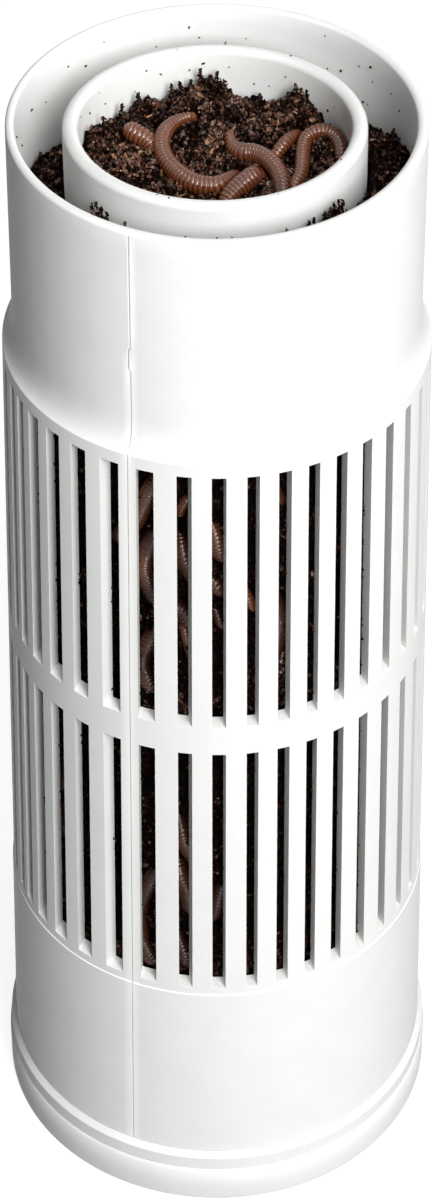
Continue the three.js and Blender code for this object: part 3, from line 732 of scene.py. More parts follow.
def tower_moulding():
    """The tower: a slotted shell with a fine parting ridge down two opposite sides."""
    profile, spans, ridge_rows = tower_profile()
    azimuths, offsets, leans, slots, ridges = tower_columns()
    heights = profile[:, 1]
    lift = np.zeros((len(profile), len(azimuths)))
    offsets = np.tile(offsets, (len(profile), 1))
    offsets[spans[1][2] - SLOT_STEPS:] += leans
    outside = np.zeros(len(profile), dtype=bool)
    outside[ridge_rows] = True
    strength = RIDGE_HEIGHT * np.where(heights > RIDGE_JOG[1], 1.0, RIDGE_LOW_SHARE)[outside, None]
    jog = outside & (heights > RIDGE_JOG[0] - 0.1) & (heights < RIDGE_JOG[1] + 0.1)
    for start in ridges:
        lift[outside, start + 1:start + 3] = -strength
        lift[outside, start + 3:start + 5] = strength
        offsets[jog, start:start + len(RIDGE_SIDES)] -= RIDGE_JOG_ASIDE
    openings = [(*span, left, left + 2) for span in spans for left in slots]
    points, faces = slotted_shell(profile, azimuths, offsets, openings, lift)
    return moulding("tower_moulding", collar_set(points), faces)


def tube_moulding():
    """The feeding tube: a shell with three rows of worm ports and a ledge at its foot."""
    lip = TUBE_WALL / 2
    lowest = DISC_TOP + PORT_MARGIN
    pitch = (TUBE_TOP - PORT_MARGIN - lowest) / PORT_ROWS
    bottoms = lowest + (np.arange(PORT_ROWS) + 0.5) * pitch - (pitch - PORT_BRIDGE) / 2
    ports = np.concatenate([np.linspace(z, z + pitch - PORT_BRIDGE, PORT_LEVELS) for z in bottoms])
    plain = np.linspace(ports[-1], TUBE_TOP - lip, 4)[1:-1]
    outside = [[TUBE_RADIUS, z] for z in (FLOOR_TOP + FIT, *ports, *plain)]
    rim = arc_points(TUBE_RADIUS - lip, TUBE_TOP - lip, lip, 0, 180, 12)
    inside = [[TUBE_BORE, z] for z in (*plain[::-1], *ports[::-1], TUBE_LEDGE_TOP)]
    ledge = TUBE_RADIUS - TUBE_LEDGE_WALL
    inside += [[ledge, TUBE_LEDGE_TOP], [ledge, FLOOR_TOP + FIT]]
    last = len(outside) + len(rim) + len(plain) + len(ports) - 1
    sector = 360 / PORTS_PER_ROW
    start = math.degrees(PORT_WIDTH / 2 / TUBE_RADIUS)
    columns, openings = [], []
    for middle in (np.arange(PORTS_PER_ROW) + 0.5) * sector:
        left = len(columns)
        for row in range(0, len(ports), PORT_LEVELS):
            openings.append((1 + row, PORT_LEVELS + row, last - row, left, left + 2))
        columns += [(middle, side * PORT_WIDTH / 2) for side in (-1, 0, 1)]
        columns += [(middle + step, 0.0) for step in np.linspace(start, sector - start, 12)[1:-1]]
    profile = np.concatenate([outside, rim, inside])
    points, faces = slotted_shell(profile, *np.array(columns).T, openings)
    return moulding("tube_moulding", tube_set(points), faces)


def joined_grids(parts):
    """Several point and face lists as one."""
    points, faces, count = [], [], 0
    for part_points, part_faces in parts:
        points.append(np.asarray(part_points).reshape(-1, 3))
        faces += [[count + i for i in face] for face in part_faces]
        count += len(points[-1])
    return np.concatenate(points), faces


def welded(parts):
    """Several point and face lists as one, with points at the same place made one."""
    points, faces = joined_grids(parts)
    first, which = np.unique(np.round(points, 3), axis=0, return_index=True, return_inverse=True)[1:]
    which = which.ravel().tolist()
    kept = []
    for face in faces:
        corners = [which[i] for i in face]
        corners = [c for i, c in enumerate(corners) if c != corners[i - 1]]
        if len(corners) > 2:
            kept.append(corners)
    return points[first], kept


def holed_band(inner, outer, count):
    """A flat band of the base cap's floor with upright round drain holes.

    Each hole has a patch of its own: rows run from its circle straight out to the edge of its
    sector of the band, once above and once below, and a short wall joins the two circles.
    """
    side = BASE_COLUMNS // count
    edge = np.linspace(-1, 1, side + 1)[:-1]
    along = np.concatenate([edge, np.ones(side), -edge, -np.ones(side)])
    out = np.concatenate([-np.ones(side), edge, np.ones(side), -edge])
    half = math.pi / count
    circle = (inner + outer) / 2
    reach = circle + out * (outer - inner) / 2
    heights = np.array([FLOOR_TOP, FLOOR_TOP, FLOOR_RAISE, FLOOR_RAISE])[:, None, None]
    parts = []
    for middle in np.arange(count) * 2 * half:
        border = round_points(reach, middle + along * half, 0.0)
        centre = round_points(circle, middle, 0.0)
        from_centre = border - centre
        ring = centre + DRAIN_RADIUS * from_centre / np.linalg.norm(from_centre, axis=1, keepdims=True)
        grid = np.stack([border, ring, ring, border]) + heights * np.array([0, 0, 1])
        parts.append((grid, grid_faces(4, len(along), False, True)))
    return parts


def open_lathe(profile, columns):
    """Points and quads of an open profile turned right round."""
    radius, height = np.array(profile, dtype=float).T[:, :, None]
    return round_points(radius, full_turn(columns), height), grid_faces(len(radius), columns, False, True)


def rib(azimuth_deg, inner, outer):
    """An upright rib under the floor: four corners of a section, drawn from radius to radius."""
    turn = math.radians(azimuth_deg)
    reach = np.array([math.sin(turn), -math.cos(turn), 0.0])
    aside = np.array([math.cos(turn), math.sin(turn), 0.0]) * RIB_THICK / 2
    foot = np.array([0, 0, RIB_RAISE])
    head = np.array([0, 0, FLOOR_RAISE + RIB_OVERRUN])
    section = np.array([foot - aside, foot + aside, head + aside, head - aside])
    return np.linspace(inner, outer, 4)[:, None, None] * reach + section, capped_faces(4, 4)


def base_moulding():
    """The base cap: a stepped skirt round a socket, a floor with drain holes, rings and ribs."""
    low, high = FLOOR_RAISE, FLOOR_TOP
    edge = cage_radius(BASE_HEIGHT) + FOOT_BAND_PROUD
    upper = edge + LEDGE_OUT
    lower = upper + STEP_OUT
    notch = upper - GROOVE_DEPTH
    ledge = BASE_HEIGHT - LEDGE_DROP
    groove_top = ledge - UPPER_RING_HEIGHT
    groove_low = groove_top - GROOVE_HEIGHT
    step = groove_low - STEP_DROP
    skirt_in = lower - SKIRT_WALL
    ring_in = TUBE_RADIUS + FIT
    ring_out = ring_in + LOCATING_RING_WALL
    foot_in = TUBE_RADIUS - FOOT_RING_WALL
    trough = (ring_out + float(tower_bore(high + FIT))) / 2
    trough_in, trough_out = trough - OUTER_BAND, trough + OUTER_BAND
    hub = TUBE_BORE * DRAINS_INNER_SHARE
    hub_in, hub_out = hub - INNER_BAND, hub + INNER_BAND
    skirt = [
        [trough_out, low], [skirt_in, low], [skirt_in, 0.0],
        *arc_points(lower - FOOT_EDGE, FOOT_EDGE, FOOT_EDGE, -90, 0, 5),
        [lower, step / 2], [lower, step], [upper, groove_low], [notch, groove_low], [notch, groove_top],
        [upper, groove_top], [upper, (groove_top + ledge) / 2], [upper, ledge], [edge, BASE_HEIGHT],
        [SOCKET_RADIUS, BASE_HEIGHT], [SOCKET_RADIUS, high], [trough_out, high],
    ]
    locating = [
        [trough_in, high], [ring_out, high], [ring_out, LOCATING_RING_TOP],
        [ring_in, LOCATING_RING_TOP], [ring_in, high], [hub_out, high],
    ]
    hub_top = [[hub_in, high], [hub / 2, high], [0.0, high]]
    hub_under = [[0.0, low], [hub / 2, low], [hub_in, low]]
    foot_ring = [
        [hub_out, low], [foot_in, low], [foot_in, 0.0], [TUBE_RADIUS, 0.0], [TUBE_RADIUS, low],
        [trough_in, low],
    ]
    profiles = (skirt, locating, hub_top, hub_under, foot_ring)
    floor = [open_lathe(profile, BASE_COLUMNS) for profile in profiles]
    floor += holed_band(trough_in, trough_out, DRAINS_OUTER) + holed_band(hub_in, hub_out, DRAINS_INNER)
    azimuths = (np.arange(RIB_COUNT) + 0.5) * 360 / RIB_COUNT
    ribs = [rib(azimuth, TUBE_RADIUS - RIB_OVERRUN, skirt_in + RIB_OVERRUN) for azimuth in azimuths]
    return moulding("base_moulding", *joined_grids([welded(floor), *ribs]))


# Earthworms

def centripetal_path(points, samples):
    """Places evenly along a smooth curve through the points.

    Each stretch is a cubic whose end slopes come from the neighbouring points, with steps of
    time equal to the square root of the distances, and the ends mirrored outwards.
    """
    points = np.asarray(points, dtype=float)
    padded = np.vstack([2 * points[0] - points[1], points, 2 * points[-1] - points[-2]])
    fine = []
    share = np.linspace(0, 1, 60, endpoint=False)[:, None]
    for a, b, c, d in zip(padded, padded[1:], padded[2:], padded[3:]):
        before, here, after = [np.linalg.norm(q - p) ** 0.5 for p, q in ((a, b), (b, c), (c, d))]
        start = ((b - a) / before - (c - a) / (before + here) + (c - b) / here) * here
        end = ((c - b) / here - (d - b) / (here + after) + (d - c) / after) * here
        curve = b + start * share + (3 * (c - b) - 2 * start - end) * share ** 2
        fine.append(curve + (2 * (b - c) + start + end) * share ** 3)
    fine = np.vstack([*fine, points[-1:]])
    along = np.concatenate([[0], np.cumsum(np.linalg.norm(np.diff(fine, axis=0), axis=1))])
    places = np.linspace(0, along[-1], samples)
    return np.stack([np.interp(places, along, column) for column in fine.T], axis=-1), along[-1]


def steady_frames(path):
    """Two directions across the path at each place, carried along it without twist."""
    tangent = np.gradient(path, axis=0)
    tangent /= np.linalg.norm(tangent, axis=1, keepdims=True)
    across = np.zeros_like(path)
    side = np.cross(tangent[0], [0.0, 0.0, 1.0])
    for i, ahead in enumerate(tangent):
        side = side - ahead * np.dot(side, ahead)
        side /= np.linalg.norm(side)
        across[i] = side
    return across, np.cross(tangent, across)


def worm(name, control, sides, rows_per_ring, pitch, shade, seed):
    """A worm: a ringed tube with blunt round ends, from places with the radius at each.

    The radius runs smoothly from place to place, times a quarter ellipse over the last stretch at
    each end. Each ring swells between two grooves, and slow noise makes the body a little uneven.
    """
    length = centripetal_path(control, 3)[1]
    rings = max(5, int(round(length / pitch)))
    samples = rings * rows_per_ring + 1
    path = centripetal_path(control, samples)[0]
    path, girth = path[:, :3], path[:, 3]
    share = np.linspace(0, 1, samples)
    phase = share * rings + RING_UNEVENNESS * np.sin(2 * np.pi * share * rings / RING_BEAT + seed)
    groove = (1 - np.abs(np.sin(np.pi * phase))) ** RING_GROOVE_SHARPNESS
    blunt = np.clip(np.minimum(share, 1 - share) * length / (BLUNT_END_SHARE * girth), 0.02, 1)
    slow = 1 - GIRTH_UNEVENNESS * (1 + lattice_noise(path, 9.0, seed))
    radius = girth * np.sqrt(1 - (1 - blunt) ** 2) * slow * (1 - RING_GROOVE_SHARE * pitch * groove)
    across, over = [direction[:, None, :] for direction in steady_frames(path)]
    turn = full_turn(sides)[:, None]
    points = path[:, None, :] + radius[:, None, None] * (np.cos(turn) * across + np.sin(turn) * over)
    faces = [face[::-1] for face in capped_faces(samples, sides)]
    hue = shade + HUE_UNEVENNESS * lattice_noise(path, 16.0, seed + 5)
    values = {"groove": np.repeat(groove, sides), "hue": np.repeat(hue, sides)}
    return made_mesh(name, points, faces, SKIN, 80.0, values)


def side_worm_control(shares, girth=SIDE_WORM_GIRTH):
    """Places and radii of a worm behind the slots, from shares of the half turn and the height."""
    turn, height, depth = np.array(shares).T
    z = LOWER_SLOT_BOTTOM + height * (UPPER_SLOT_TOP - LOWER_SLOT_BOTTOM)
    radius = tower_bore(z) - FIT - (1 + depth) * WORM_RADIUS
    girths = np.full(len(z), girth)
    girths[[0, -1]] *= WORM_END_SHARE
    return np.column_stack([round_points(radius, np.radians(from_seam(turn)), z), girths])


SIDE_WORMS = [side_worm_control(shares) for shares in SIDE_WORM_SHARES]


# Compost

def worm_beds(x, y, sunk):
    """Lowest and highest the heap may lie at each place, so that the worms lie in it.

    Under a worm it stays below the worm's axis by a share of its radius, and beside the worm it
    comes up to the worm's underside. Stretches of a worm that are buried count for nothing.
    """
    lowest = np.full(x.shape, -np.inf)
    highest = np.full(x.shape, np.inf)
    for control in TOP_WORMS:
        for across, back, z, girth in centripetal_path(control, 80)[0]:
            if z + 0.5 * girth < core_mound(across, back):
                continue
            distance = np.hypot(x - across, y - back)
            lowest = np.where(distance < BESIDE_SHARE * girth, np.maximum(lowest, z - girth), lowest)
            under = distance < BED_SHARE * girth
            highest = np.where(under, np.minimum(highest, z - sunk * girth), highest)
    return lowest, highest


def heap_rises(x, y):
    """Sum of the named rises and hollows of the heap, each a round bump."""
    return sum(
        height * np.exp(-((x - across) ** 2 + (y - back) ** 2) / width ** 2)
        for across, back, height, width in HEAP_RISES
    )


def core_mound(x, y):
    """Height of the heap as it looks: a mean slope, drawn to the crest near the tube's back."""
    pull_out = eased((np.hypot(x, y) - CREST_PULL_OUT[0]) / CREST_PULL_OUT[1])
    pull = pull_out * eased((y - CREST_PULL_BACK[0]) / CREST_PULL_BACK[1])
    level = (HEAP_LEVEL + HEAP_SLOPE * y) * (1 - pull) + np.interp(x, CREST_X, CREST_Z) * pull
    return level + heap_rises(x, y)


def heap_top(x, y, level, tuft, seed):
    """Crumbly height: the mean level, soft lumps, sharp crests and grit."""
    place = np.stack([x, y, np.zeros_like(x)], axis=-1)
    lump = rough(place, 8.0, 2, seed)
    crest = 1 - 2 * np.abs(lattice_noise(place, 3.6, seed + 7))
    grit = rough(place, 1.9, 2, seed + 11)
    return level + tuft * (0.9 * lump + 0.9 * crest + 0.5 * grit)


def core_height(x, y, sunk):
    """Height of the heap's surface, with the worms' beds, and how hollow it is there: the crumbs' painted
    shade and light.
    """
    mound = core_mound(x, y)
    height = heap_top(x, y, mound, HEAP_ROUGHNESS, 21)
    height = np.clip(height, *worm_beds(x, y, sunk))
    return height, np.clip((height - mound) / 5, -0.5, 0.5)


def core_surface():
    """The heap in the tube: a closed drum whose top is the crumbly height."""
    radius = TUBE_BORE - FIT
    bottom = DISC_TOP + FIT
    turn = full_turn(SOIL_COLUMNS)
    under = round_points(np.array([[1.0], [radius * 0.5], [radius]]), turn, bottom)
    side = np.linspace(bottom, HEAP_WALL_TOP, 60)[1:, None]
    dent = 0.9 * np.abs(rough(round_points(radius, turn, side), 6.0, 3, 3))
    wall = round_points(radius - 0.1 - dent, turn, side)
    top = round_points(np.linspace(radius, 0.4, 100)[:, None], turn, 0.0)
    top[..., 2] = core_height(top[..., 0], top[..., 1], 0.25)[0]
    points = np.concatenate([under, wall, top])
    # The surface under the crumbs is kept near black: the compost's own dark tone with painted shade for
    # the gaps between crumbs.
    shade = -0.09 + 0.08 * rough(points, 2.2, 3, 40)
    faces = capped_faces(len(points), SOIL_COLUMNS)
    return made_mesh("core_heap", points, faces, COMPOST, 75.0, {"shade": shade})


def ring_mound(x, y):
    """Height of the compost round the tube, which falls to the back and leans to the left."""
    slope = (RING_LEAN * x - RING_FALL * y) / COLLAR_RADIUS
    return RIM - RING_BELOW_RIM + slope - 1.8 - 1.4 * eased(-x / 55)


def ring_height(places):
    """Crumbly height of the compost round the tube."""
    x, y = places[..., 0], places[..., 1]
    return heap_top(x, y, ring_mound(x, y), RING_ROUGHNESS, 71)


def worm_clearance(points):
    """Distance from each point to the nearest path of a worm behind the slots."""
    nearest = np.full(points.shape[:-1], np.inf)
    for control in SIDE_WORMS:
        path = centripetal_path(control, 40)[0][:, :3]
        near = (points[..., 2] > path[:, 2].min() - 8) & (points[..., 2] < path[:, 2].max() + 8)
        some = points[near]
        for place in path:
            nearest[near] = np.minimum(nearest[near], np.linalg.norm(some - place, axis=-1))
    return nearest


def wall_dent(clump):
    """How far the compost behind the slots lies back from the bore, from its clumps' noise."""
    return np.clip(WALL_DENT + WALL_DENT_CHANGE * clump, 0.2, 7.5)


def ring_surface():
    """The compost round the tube: a closed ring with a crumbly top and a hollowed outside.

    Row by row it runs up the outside, in across the top and down the inside. The outside lies
    short of the tower's bore by a random dent, and deeper where a worm lies.
    """
    turn = full_turn(SOIL_COLUMNS)
    inner = TUBE_RADIUS + SOIL_FIT
    over = inner + LOCATING_RING_WALL + FIT
    bottom = FLOOR_TOP + FIT
    rise = np.concatenate([
        np.linspace(bottom, LOWER_SLOT_BOTTOM, 12),
        np.linspace(LOWER_SLOT_BOTTOM, UPPER_SLOT_TOP, 165)[1:],
        np.linspace(UPPER_SLOT_TOP, RING_WALL_TOP, 8)[1:],
    ])[:, None]
    wall = round_points(tower_bore(rise), turn, rise)
    dent = wall_dent(rough(wall, 8.0, 3, 60))
    dent = np.where(worm_clearance(wall) < SIDE_BED_REACH, np.maximum(dent, SIDE_BED_DEPTH), dent)
    outside = round_points(tower_bore(rise) - SOIL_FIT - 0.1 - dent, turn, rise)
    across = np.linspace(tower_bore(RING_WALL_TOP) - SOIL_FIT - 0.4, inner, 22)
    crown = round_points(across[:, None], turn, 0.0)
    crown[..., 2] = ring_height(crown)
    step = LOCATING_RING_TOP + FIT
    shaft_profile = [[inner, UPPER_SLOT_TOP], [inner, step], [over, step], [over, bottom]]
    points = np.concatenate([outside, crown, open_lathe(shaft_profile, SOIL_COLUMNS)[0]])
    faces = grid_faces(len(points), SOIL_COLUMNS, True, True).tolist()
    # Darker below the top, where the compost lies behind the slots: painted shade.
    shade = np.where(points[..., 2] < RING_WALL_TOP - 20, -0.1, -0.02) + 0.08 * rough(points, 2.6, 3, 80)
    return made_mesh("ring_heap", points, faces, COMPOST, 75.0, {"shade": shade})


def lumps(name, centres, sizes, axes, shades, seed):
    """Many small lumps as one mesh.

    Each is a ball of two rings of five points between two poles, with each point moved in or out
    at random, stretched by its sizes and turned onto its axis.
    """
    generator = np.random.default_rng(seed)
    count = len(centres)
    here = np.arange(5)
    on = (here + 1) % 5
    turn = here * 2 * np.pi / 5
    turn = np.concatenate([turn, turn + np.pi / 5])
    flat, up = math.cos(math.atan(0.5)), math.sin(math.atan(0.5))
    rings = np.column_stack([flat * np.cos(turn), flat * np.sin(turn), np.repeat([-up, up], 5)])
    ball = np.vstack([rings, [[0, 0, -1], [0, 0, 1]]])
    corners = [(10, on, here), (here, on, 5 + here), (on, 5 + on, 5 + here), (11, 5 + here, 5 + on)]
    triangles = np.concatenate([np.stack(np.broadcast_arrays(*three), axis=-1) for three in corners])
    uneven = 1 + 0.42 * generator.uniform(-1, 1, (count, len(ball), 1))
    shape = ball * uneven * sizes[:, None, :]
    axis = axes / np.linalg.norm(axes, axis=1, keepdims=True)
    side = np.cross(axis, generator.normal(size=(count, 3)))
    side /= np.linalg.norm(side, axis=1, keepdims=True)
    basis = np.stack([side, np.cross(axis, side), axis], axis=1)
    points = np.einsum("nvi,nij->nvj", shape, basis) + centres[:, None, :]
    faces = (triangles + np.arange(count)[:, None, None] * len(ball)).reshape(-1, 3).tolist()
    return made_mesh(name, points, faces, COMPOST, 30.0, {"shade": np.repeat(shades, len(ball))})


def stretched(generator, size, shape):
    """Sizes along three axes: each size times random shares between a shape's least and most."""
    return size * generator.uniform(*shape, (len(size), 3))


def leaning(generator, count, lean):
    """Upward directions, each leaning at random."""
    return generator.normal(size=(count, 3)) * lean + np.array([0, 0, 1.0])


def crumb_shades(generator, count):
    """Mostly dark crumbs, some reddish and a few pale golden ones, partly pale bits and partly painted
    glints.
    """
    shades = 0.68 * generator.beta(0.9, 2.7, count) - 0.05
    return np.where(generator.uniform(0, 1, count) < 0.02, 0.72, shades)


def loose_crumbs(generator, places, height, smallest, largest):
    """Centres and sizes of crumbs that lie on a surface, with more small ones than large."""
    size = smallest + (largest - smallest) * generator.uniform(0, 1, (len(places), 1)) ** 1.6
    sizes = stretched(generator, size, CRUMB_SHAPE)
    return np.column_stack([places[:, :2], height + 0.45 * size[:, 0]]), sizes


def tuft_crumbs(generator, tops, per_tuft):
    """Centres, sizes and directions of crumbs piled into spiky tufts.

    A tuft is a slim cone of crumbs: broad at its foot and narrow at its tip, where the crumbs are
    small and stand upright.
    """
    count = len(tops) * per_tuft
    tops = np.repeat(tops, per_tuft, axis=0)
    climb = generator.uniform(0, 1, (count, 1))
    spread = 0.5 * (1 - 0.85 * climb) * tops[:, 4:]
    centres = tops[:, :3] + generator.normal(size=(count, 3)) * np.array([1.0, 1.0, 0.1]) * spread
    centres[:, 2:] += climb * tops[:, 3:4]
    size = generator.uniform(0.4, 0.8, (count, 1)) * (1 - 0.35 * climb)
    sizes = stretched(generator, size, TUFT_SHAPE)
    return centres, sizes, leaning(generator, count, 0.9 - 0.55 * climb)


def piled(*sets):
    """Several sets of centres, sizes and directions as one."""
    return [np.vstack(parts) for parts in zip(*sets)]


def core_crumbs(name, smallest, largest, seed):
    """Loose crumbs all over the heap in the tube, with painted shade in its hollows and painted light on
    its rises.
    """
    generator = np.random.default_rng(seed)
    radius = (TUBE_BORE - 1.9) * np.sqrt(generator.uniform(0, 1, MOST_LUMPS))
    places = round_points(radius, generator.uniform(0, 2 * np.pi, MOST_LUMPS), 0.0)
    height, hollow = core_height(places[:, 0], places[:, 1], 0.6)
    centres, sizes = loose_crumbs(generator, places, height, smallest, largest)
    # Random patches of tone, plus painted light on the heap's rises and painted shade in its hollows.
    patch = 0.16 * rough(centres, 11.0, 2, 33) + 0.06 * heap_rises(centres[:, 0], centres[:, 1])
    shades = np.clip(crumb_shades(generator, MOST_LUMPS) + 0.6 * hollow + patch, 0, 0.9)
    return lumps(name, centres, sizes, leaning(generator, MOST_LUMPS, 0.9), shades, seed + 1)


def core_tufts():
    """Spiky tufts of crumbs on the heap, tallest along the tube's back."""
    generator = np.random.default_rng(25)
    x, y = generator.uniform(-45, 45, (240, 2)).T
    free = (np.hypot(x, y) < CREST_REACH) & np.isinf(worm_beds(x, y, 0.0)[1])
    x, y = x[free], y[free]
    foot = core_height(x, y, 0.6)[0] - 0.3
    sizes = generator.uniform([0.8, 1.0], [2.8, 2.2], (len(x), 2))
    scattered = np.column_stack([x, y, foot, sizes])
    across, tip = np.array(CREST_TUFTS).T
    between = generator.uniform(-44, 40, 34)
    across = np.concatenate([across, between])
    tip = np.concatenate([tip, np.interp(between, CREST_X, CREST_Z) + generator.uniform(2.0, 5.5, 34)])
    back = np.sqrt(CREST_REACH ** 2 - np.minimum(np.abs(across), 44.5) ** 2)
    foot = core_mound(across, back) - 0.5
    rise = np.maximum(tip - foot - 0.6, 1.5)
    crest = np.column_stack([across, back, foot, rise, 0.8 + 0.18 * rise])
    tufts = piled(tuft_crumbs(generator, scattered, 24), tuft_crumbs(generator, crest, 76))
    # Tufts on the heap's rises get painted light and those in its hollows painted shade.
    shades = crumb_shades(generator, len(tufts[0])) + 0.06 * heap_rises(*tufts[0].T[:2])
    return lumps("core_tufts", *tufts, np.clip(shades, 0, 0.9), 26)


def core_fibres():
    """Pale straw-like fibres that lie on the heap."""
    generator = np.random.default_rng(27)
    x, y, turn, length = np.array(HEAP_FIBRES).T
    count = len(x)
    centres = np.column_stack([x, y, core_height(x, y, 0.0)[0] + 1.2])
    turn = np.radians(turn)
    axes = np.column_stack([np.cos(turn), np.sin(turn), generator.uniform(-0.2, 0.2, count)])
    sizes = np.column_stack([np.full(count, 0.32), np.full(count, 0.26), length / 2])
    return lumps("core_fibres", centres, sizes, axes, np.full(count, 0.9), 28)


def ring_crumbs():
    """Loose crumbs and small tufts on the compost round the tube."""
    generator = np.random.default_rng(15)
    count, spots = 6400, 80
    radius = generator.uniform(TUBE_RADIUS + 1.6, 70.2, count)
    places = round_points(radius, generator.uniform(0, 2 * np.pi, count), 0.0)
    loose = loose_crumbs(generator, places, ring_height(places), 0.4, 1.15)
    loose = (*loose, leaning(generator, count, 0.9))
    turn = generator.uniform(0, 2 * np.pi, spots)
    foot = round_points(generator.uniform(TUBE_RADIUS + 3.5, 69.0, spots), turn, 0.0)
    foot[:, 2] = ring_height(foot) - 0.4
    rise = generator.uniform(0.8, 2.2, spots)
    scattered = np.column_stack([foot, rise, generator.uniform(1.0, 2.2, spots)])
    azimuth, radius, tip, width = np.array(RING_TUFTS).T
    foot = round_points(radius, np.radians(azimuth), 0.0)
    foot[:, 2] = ring_mound(foot[:, 0], foot[:, 1])
    against = np.column_stack([foot, np.maximum(tip - foot[:, 2] - 0.8, 1.0), width])
    tufts = (tuft_crumbs(generator, scattered, 24), tuft_crumbs(generator, against, 66))
    centres, sizes, axes = piled(loose, *tufts)
    reach = np.hypot(centres[:, 0], centres[:, 1])
    centres[:, :2] *= (np.maximum(reach, TUBE_RADIUS + 1.5) / reach)[:, None]
    return lumps("ring_crumbs", centres, sizes, axes, crumb_shades(generator, len(centres)), 16)


def slot_heights(generator, count, lowest, highest):
    """Random heights in the two rows of slots, between two shares of a row's height."""
    low, high = SLOT_ROWS[generator.integers(0, 2, count)].T
    return low + generator.uniform(lowest, highest, count) * (high - low)


def wall_crumbs(name, low_turn, high_turn, seed):
    """Crumbs in clumps on the outside of the compost behind the slots between two azimuths, with painted
    shade.
    """
    generator = np.random.default_rng(seed)
    tries = 4 * MOST_LUMPS
    turn = generator.uniform(low_turn, high_turn, tries)
    z = slot_heights(generator, tries, -0.02, 1.02)
    halves = np.arange(-2, 2)[:, None]
    middles = from_seam(halves + SLOT_SHARES[:, 0]) + np.degrees(SLOT_LEANS / CAGE_TOP_RADIUS)
    aside = np.abs(turn[:, None] - middles.ravel()).min(axis=1)
    bore = tower_bore(z)
    place = round_points(bore, np.radians(turn), z)
    clump = rough(place, 8.0, 3, 60)
    keep = (aside < SLOT_REACH_DEG) & (clump < generator.uniform(-0.9, 0.5, tries))
    kept = np.flatnonzero(keep & (worm_clearance(place) > 6.2))[:MOST_LUMPS]
    turn, z, bore, depth = turn[kept], z[kept], bore[kept], wall_dent(clump[kept])
    size = generator.uniform(0.45, 1.25, len(kept))
    centres = round_points(bore - SOIL_FIT - depth - 0.5 * size + 0.5, np.radians(turn), z)
    sizes = stretched(generator, size[:, None], CHIP_SHAPE)
    axes = generator.normal(size=(len(kept), 3))
    above_sill = z - np.where(z < UPPER_SLOT_BOTTOM - 5, LOWER_SLOT_BOTTOM, UPPER_SLOT_BOTTOM)
    # Darker than the heap's crumbs, the more so the deeper they lie: painted shade behind the slots.
    # Lighter in the lowest 18 mm of each row.
    shades = 0.75 * crumb_shades(generator, len(kept)) * (1 - 0.1 * depth) - 0.07
    shades += 0.22 * eased(1 - above_sill / 18)
    return lumps(name, centres, sizes, axes, shades, seed + 1)


def slot_crumbs():
    """Crumbs that cling in patches to the inner edges of the slots."""
    generator = np.random.default_rng(45)
    count = 7000
    half = generator.integers(0, 2, count)
    which = generator.integers(0, len(SLOT_SHARES), count)
    share, width = SLOT_SHARES[which].T
    z = slot_heights(generator, count, 0.012, 0.988)
    size = generator.uniform(0.35, 0.85, count)
    aside = generator.choice([-1.0, 1.0], count) * (width * SLOT_WIDTH / 2 - 0.4 * size)
    depth = 1.2 * generator.uniform(0, 1, count) ** 2 - 0.4 * size
    reach = tower_bore(z) + depth
    inward = 1 - np.clip(depth / CAGE_WALL, 0, 1)
    azimuth = np.radians(from_seam(half + share)) + np.arcsin((aside + SLOT_LEANS[which] * inward) / reach)
    centres = round_points(reach, azimuth, z)
    keep = lattice_noise(centres, 7.0, 91) > 0.1
    centres, size = centres[keep], size[keep, None]
    sizes = stretched(generator, size, CHIP_SHAPE)
    shades = crumb_shades(generator, len(size)) * 0.8
    return lumps("slot_crumbs", centres, sizes, generator.normal(size=(len(size), 3)), shades, 46)


def speck_lumps(name, centres, seed):
    """Small dark specks with uneven sizes at given places."""
    generator = np.random.default_rng(seed)
    count = len(centres)
    sizes = stretched(generator, generator.uniform(0.28, 0.6, (count, 1)), SPECK_SHAPE)
    return lumps(name, centres, sizes, leaning(generator, count, 1.0), np.full(count, 0.12), seed)


def collar_specks():
    """Specks of compost on the inside of the collar."""
    azimuth, z = np.array(COLLAR_SPECKS).T
    places = collar_set(round_points(tower_bore(z) - 0.1, np.radians(azimuth), z))
    return speck_lumps("collar_specks", places, 51)


def tube_specks():
    """Specks of compost on the inside of the tube and on its rim."""
    azimuth, z = np.array(TUBE_SPECKS).T
    wall = round_points(TUBE_BORE - 0.1, np.radians(azimuth), z)
    azimuth, radius = np.array(RIM_SPECKS).T
    rim = round_points(radius, np.radians(azimuth), TUBE_TOP - 0.2)
    return speck_lumps("tube_specks", tube_set(np.vstack([wall, rim])), 52)


# Putting it together

def placed(made, body, slot, *nodes):
    """Makes a piece ride on its body and stand for its nodes. The slot is not used."""
    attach(made, body)
    if nodes:
        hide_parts(*nodes)


placed(tower_moulding(), "tower", "white_plastic", "tower_body")
placed(tube_moulding(), "feed_tube", "white_plastic", "inner_tube")
placed(base_moulding(), "base", "white_plastic", "base_cap")
placed(core_surface(), "feed_tube", "compost", "compost_core")
placed(ring_surface(), "base", "compost", "compost_ring")
placed(core_crumbs("core_crumbs", 0.32, 0.95, 5), "feed_tube", "compost")
placed(core_crumbs("core_grit", 0.22, 0.55, 7), "feed_tube", "compost")
placed(core_fibres(), "feed_tube", "compost")
placed(core_tufts(), "feed_tube", "compost")
placed(ring_crumbs(), "base", "compost")
placed(wall_crumbs("front_wall_crumbs", -60.0, 45.0, 35), "base", "compost")
placed(wall_crumbs("far_wall_crumbs", 45.0, 300.0, 38), "base", "compost")
placed(slot_crumbs(), "tower", "compost")
placed(collar_specks(), "tower", "compost")
placed(tube_specks(), "feed_tube", "compost")
for order, control in enumerate(TOP_WORMS):
    node = f"top_worm_{order + 1}"
    skin = worm(f"{node}_skin", control, 28, 8, BROAD_RING_PITCH, 0.5, 100 + order)
    placed(skin, "feed_tube", "worm", node)
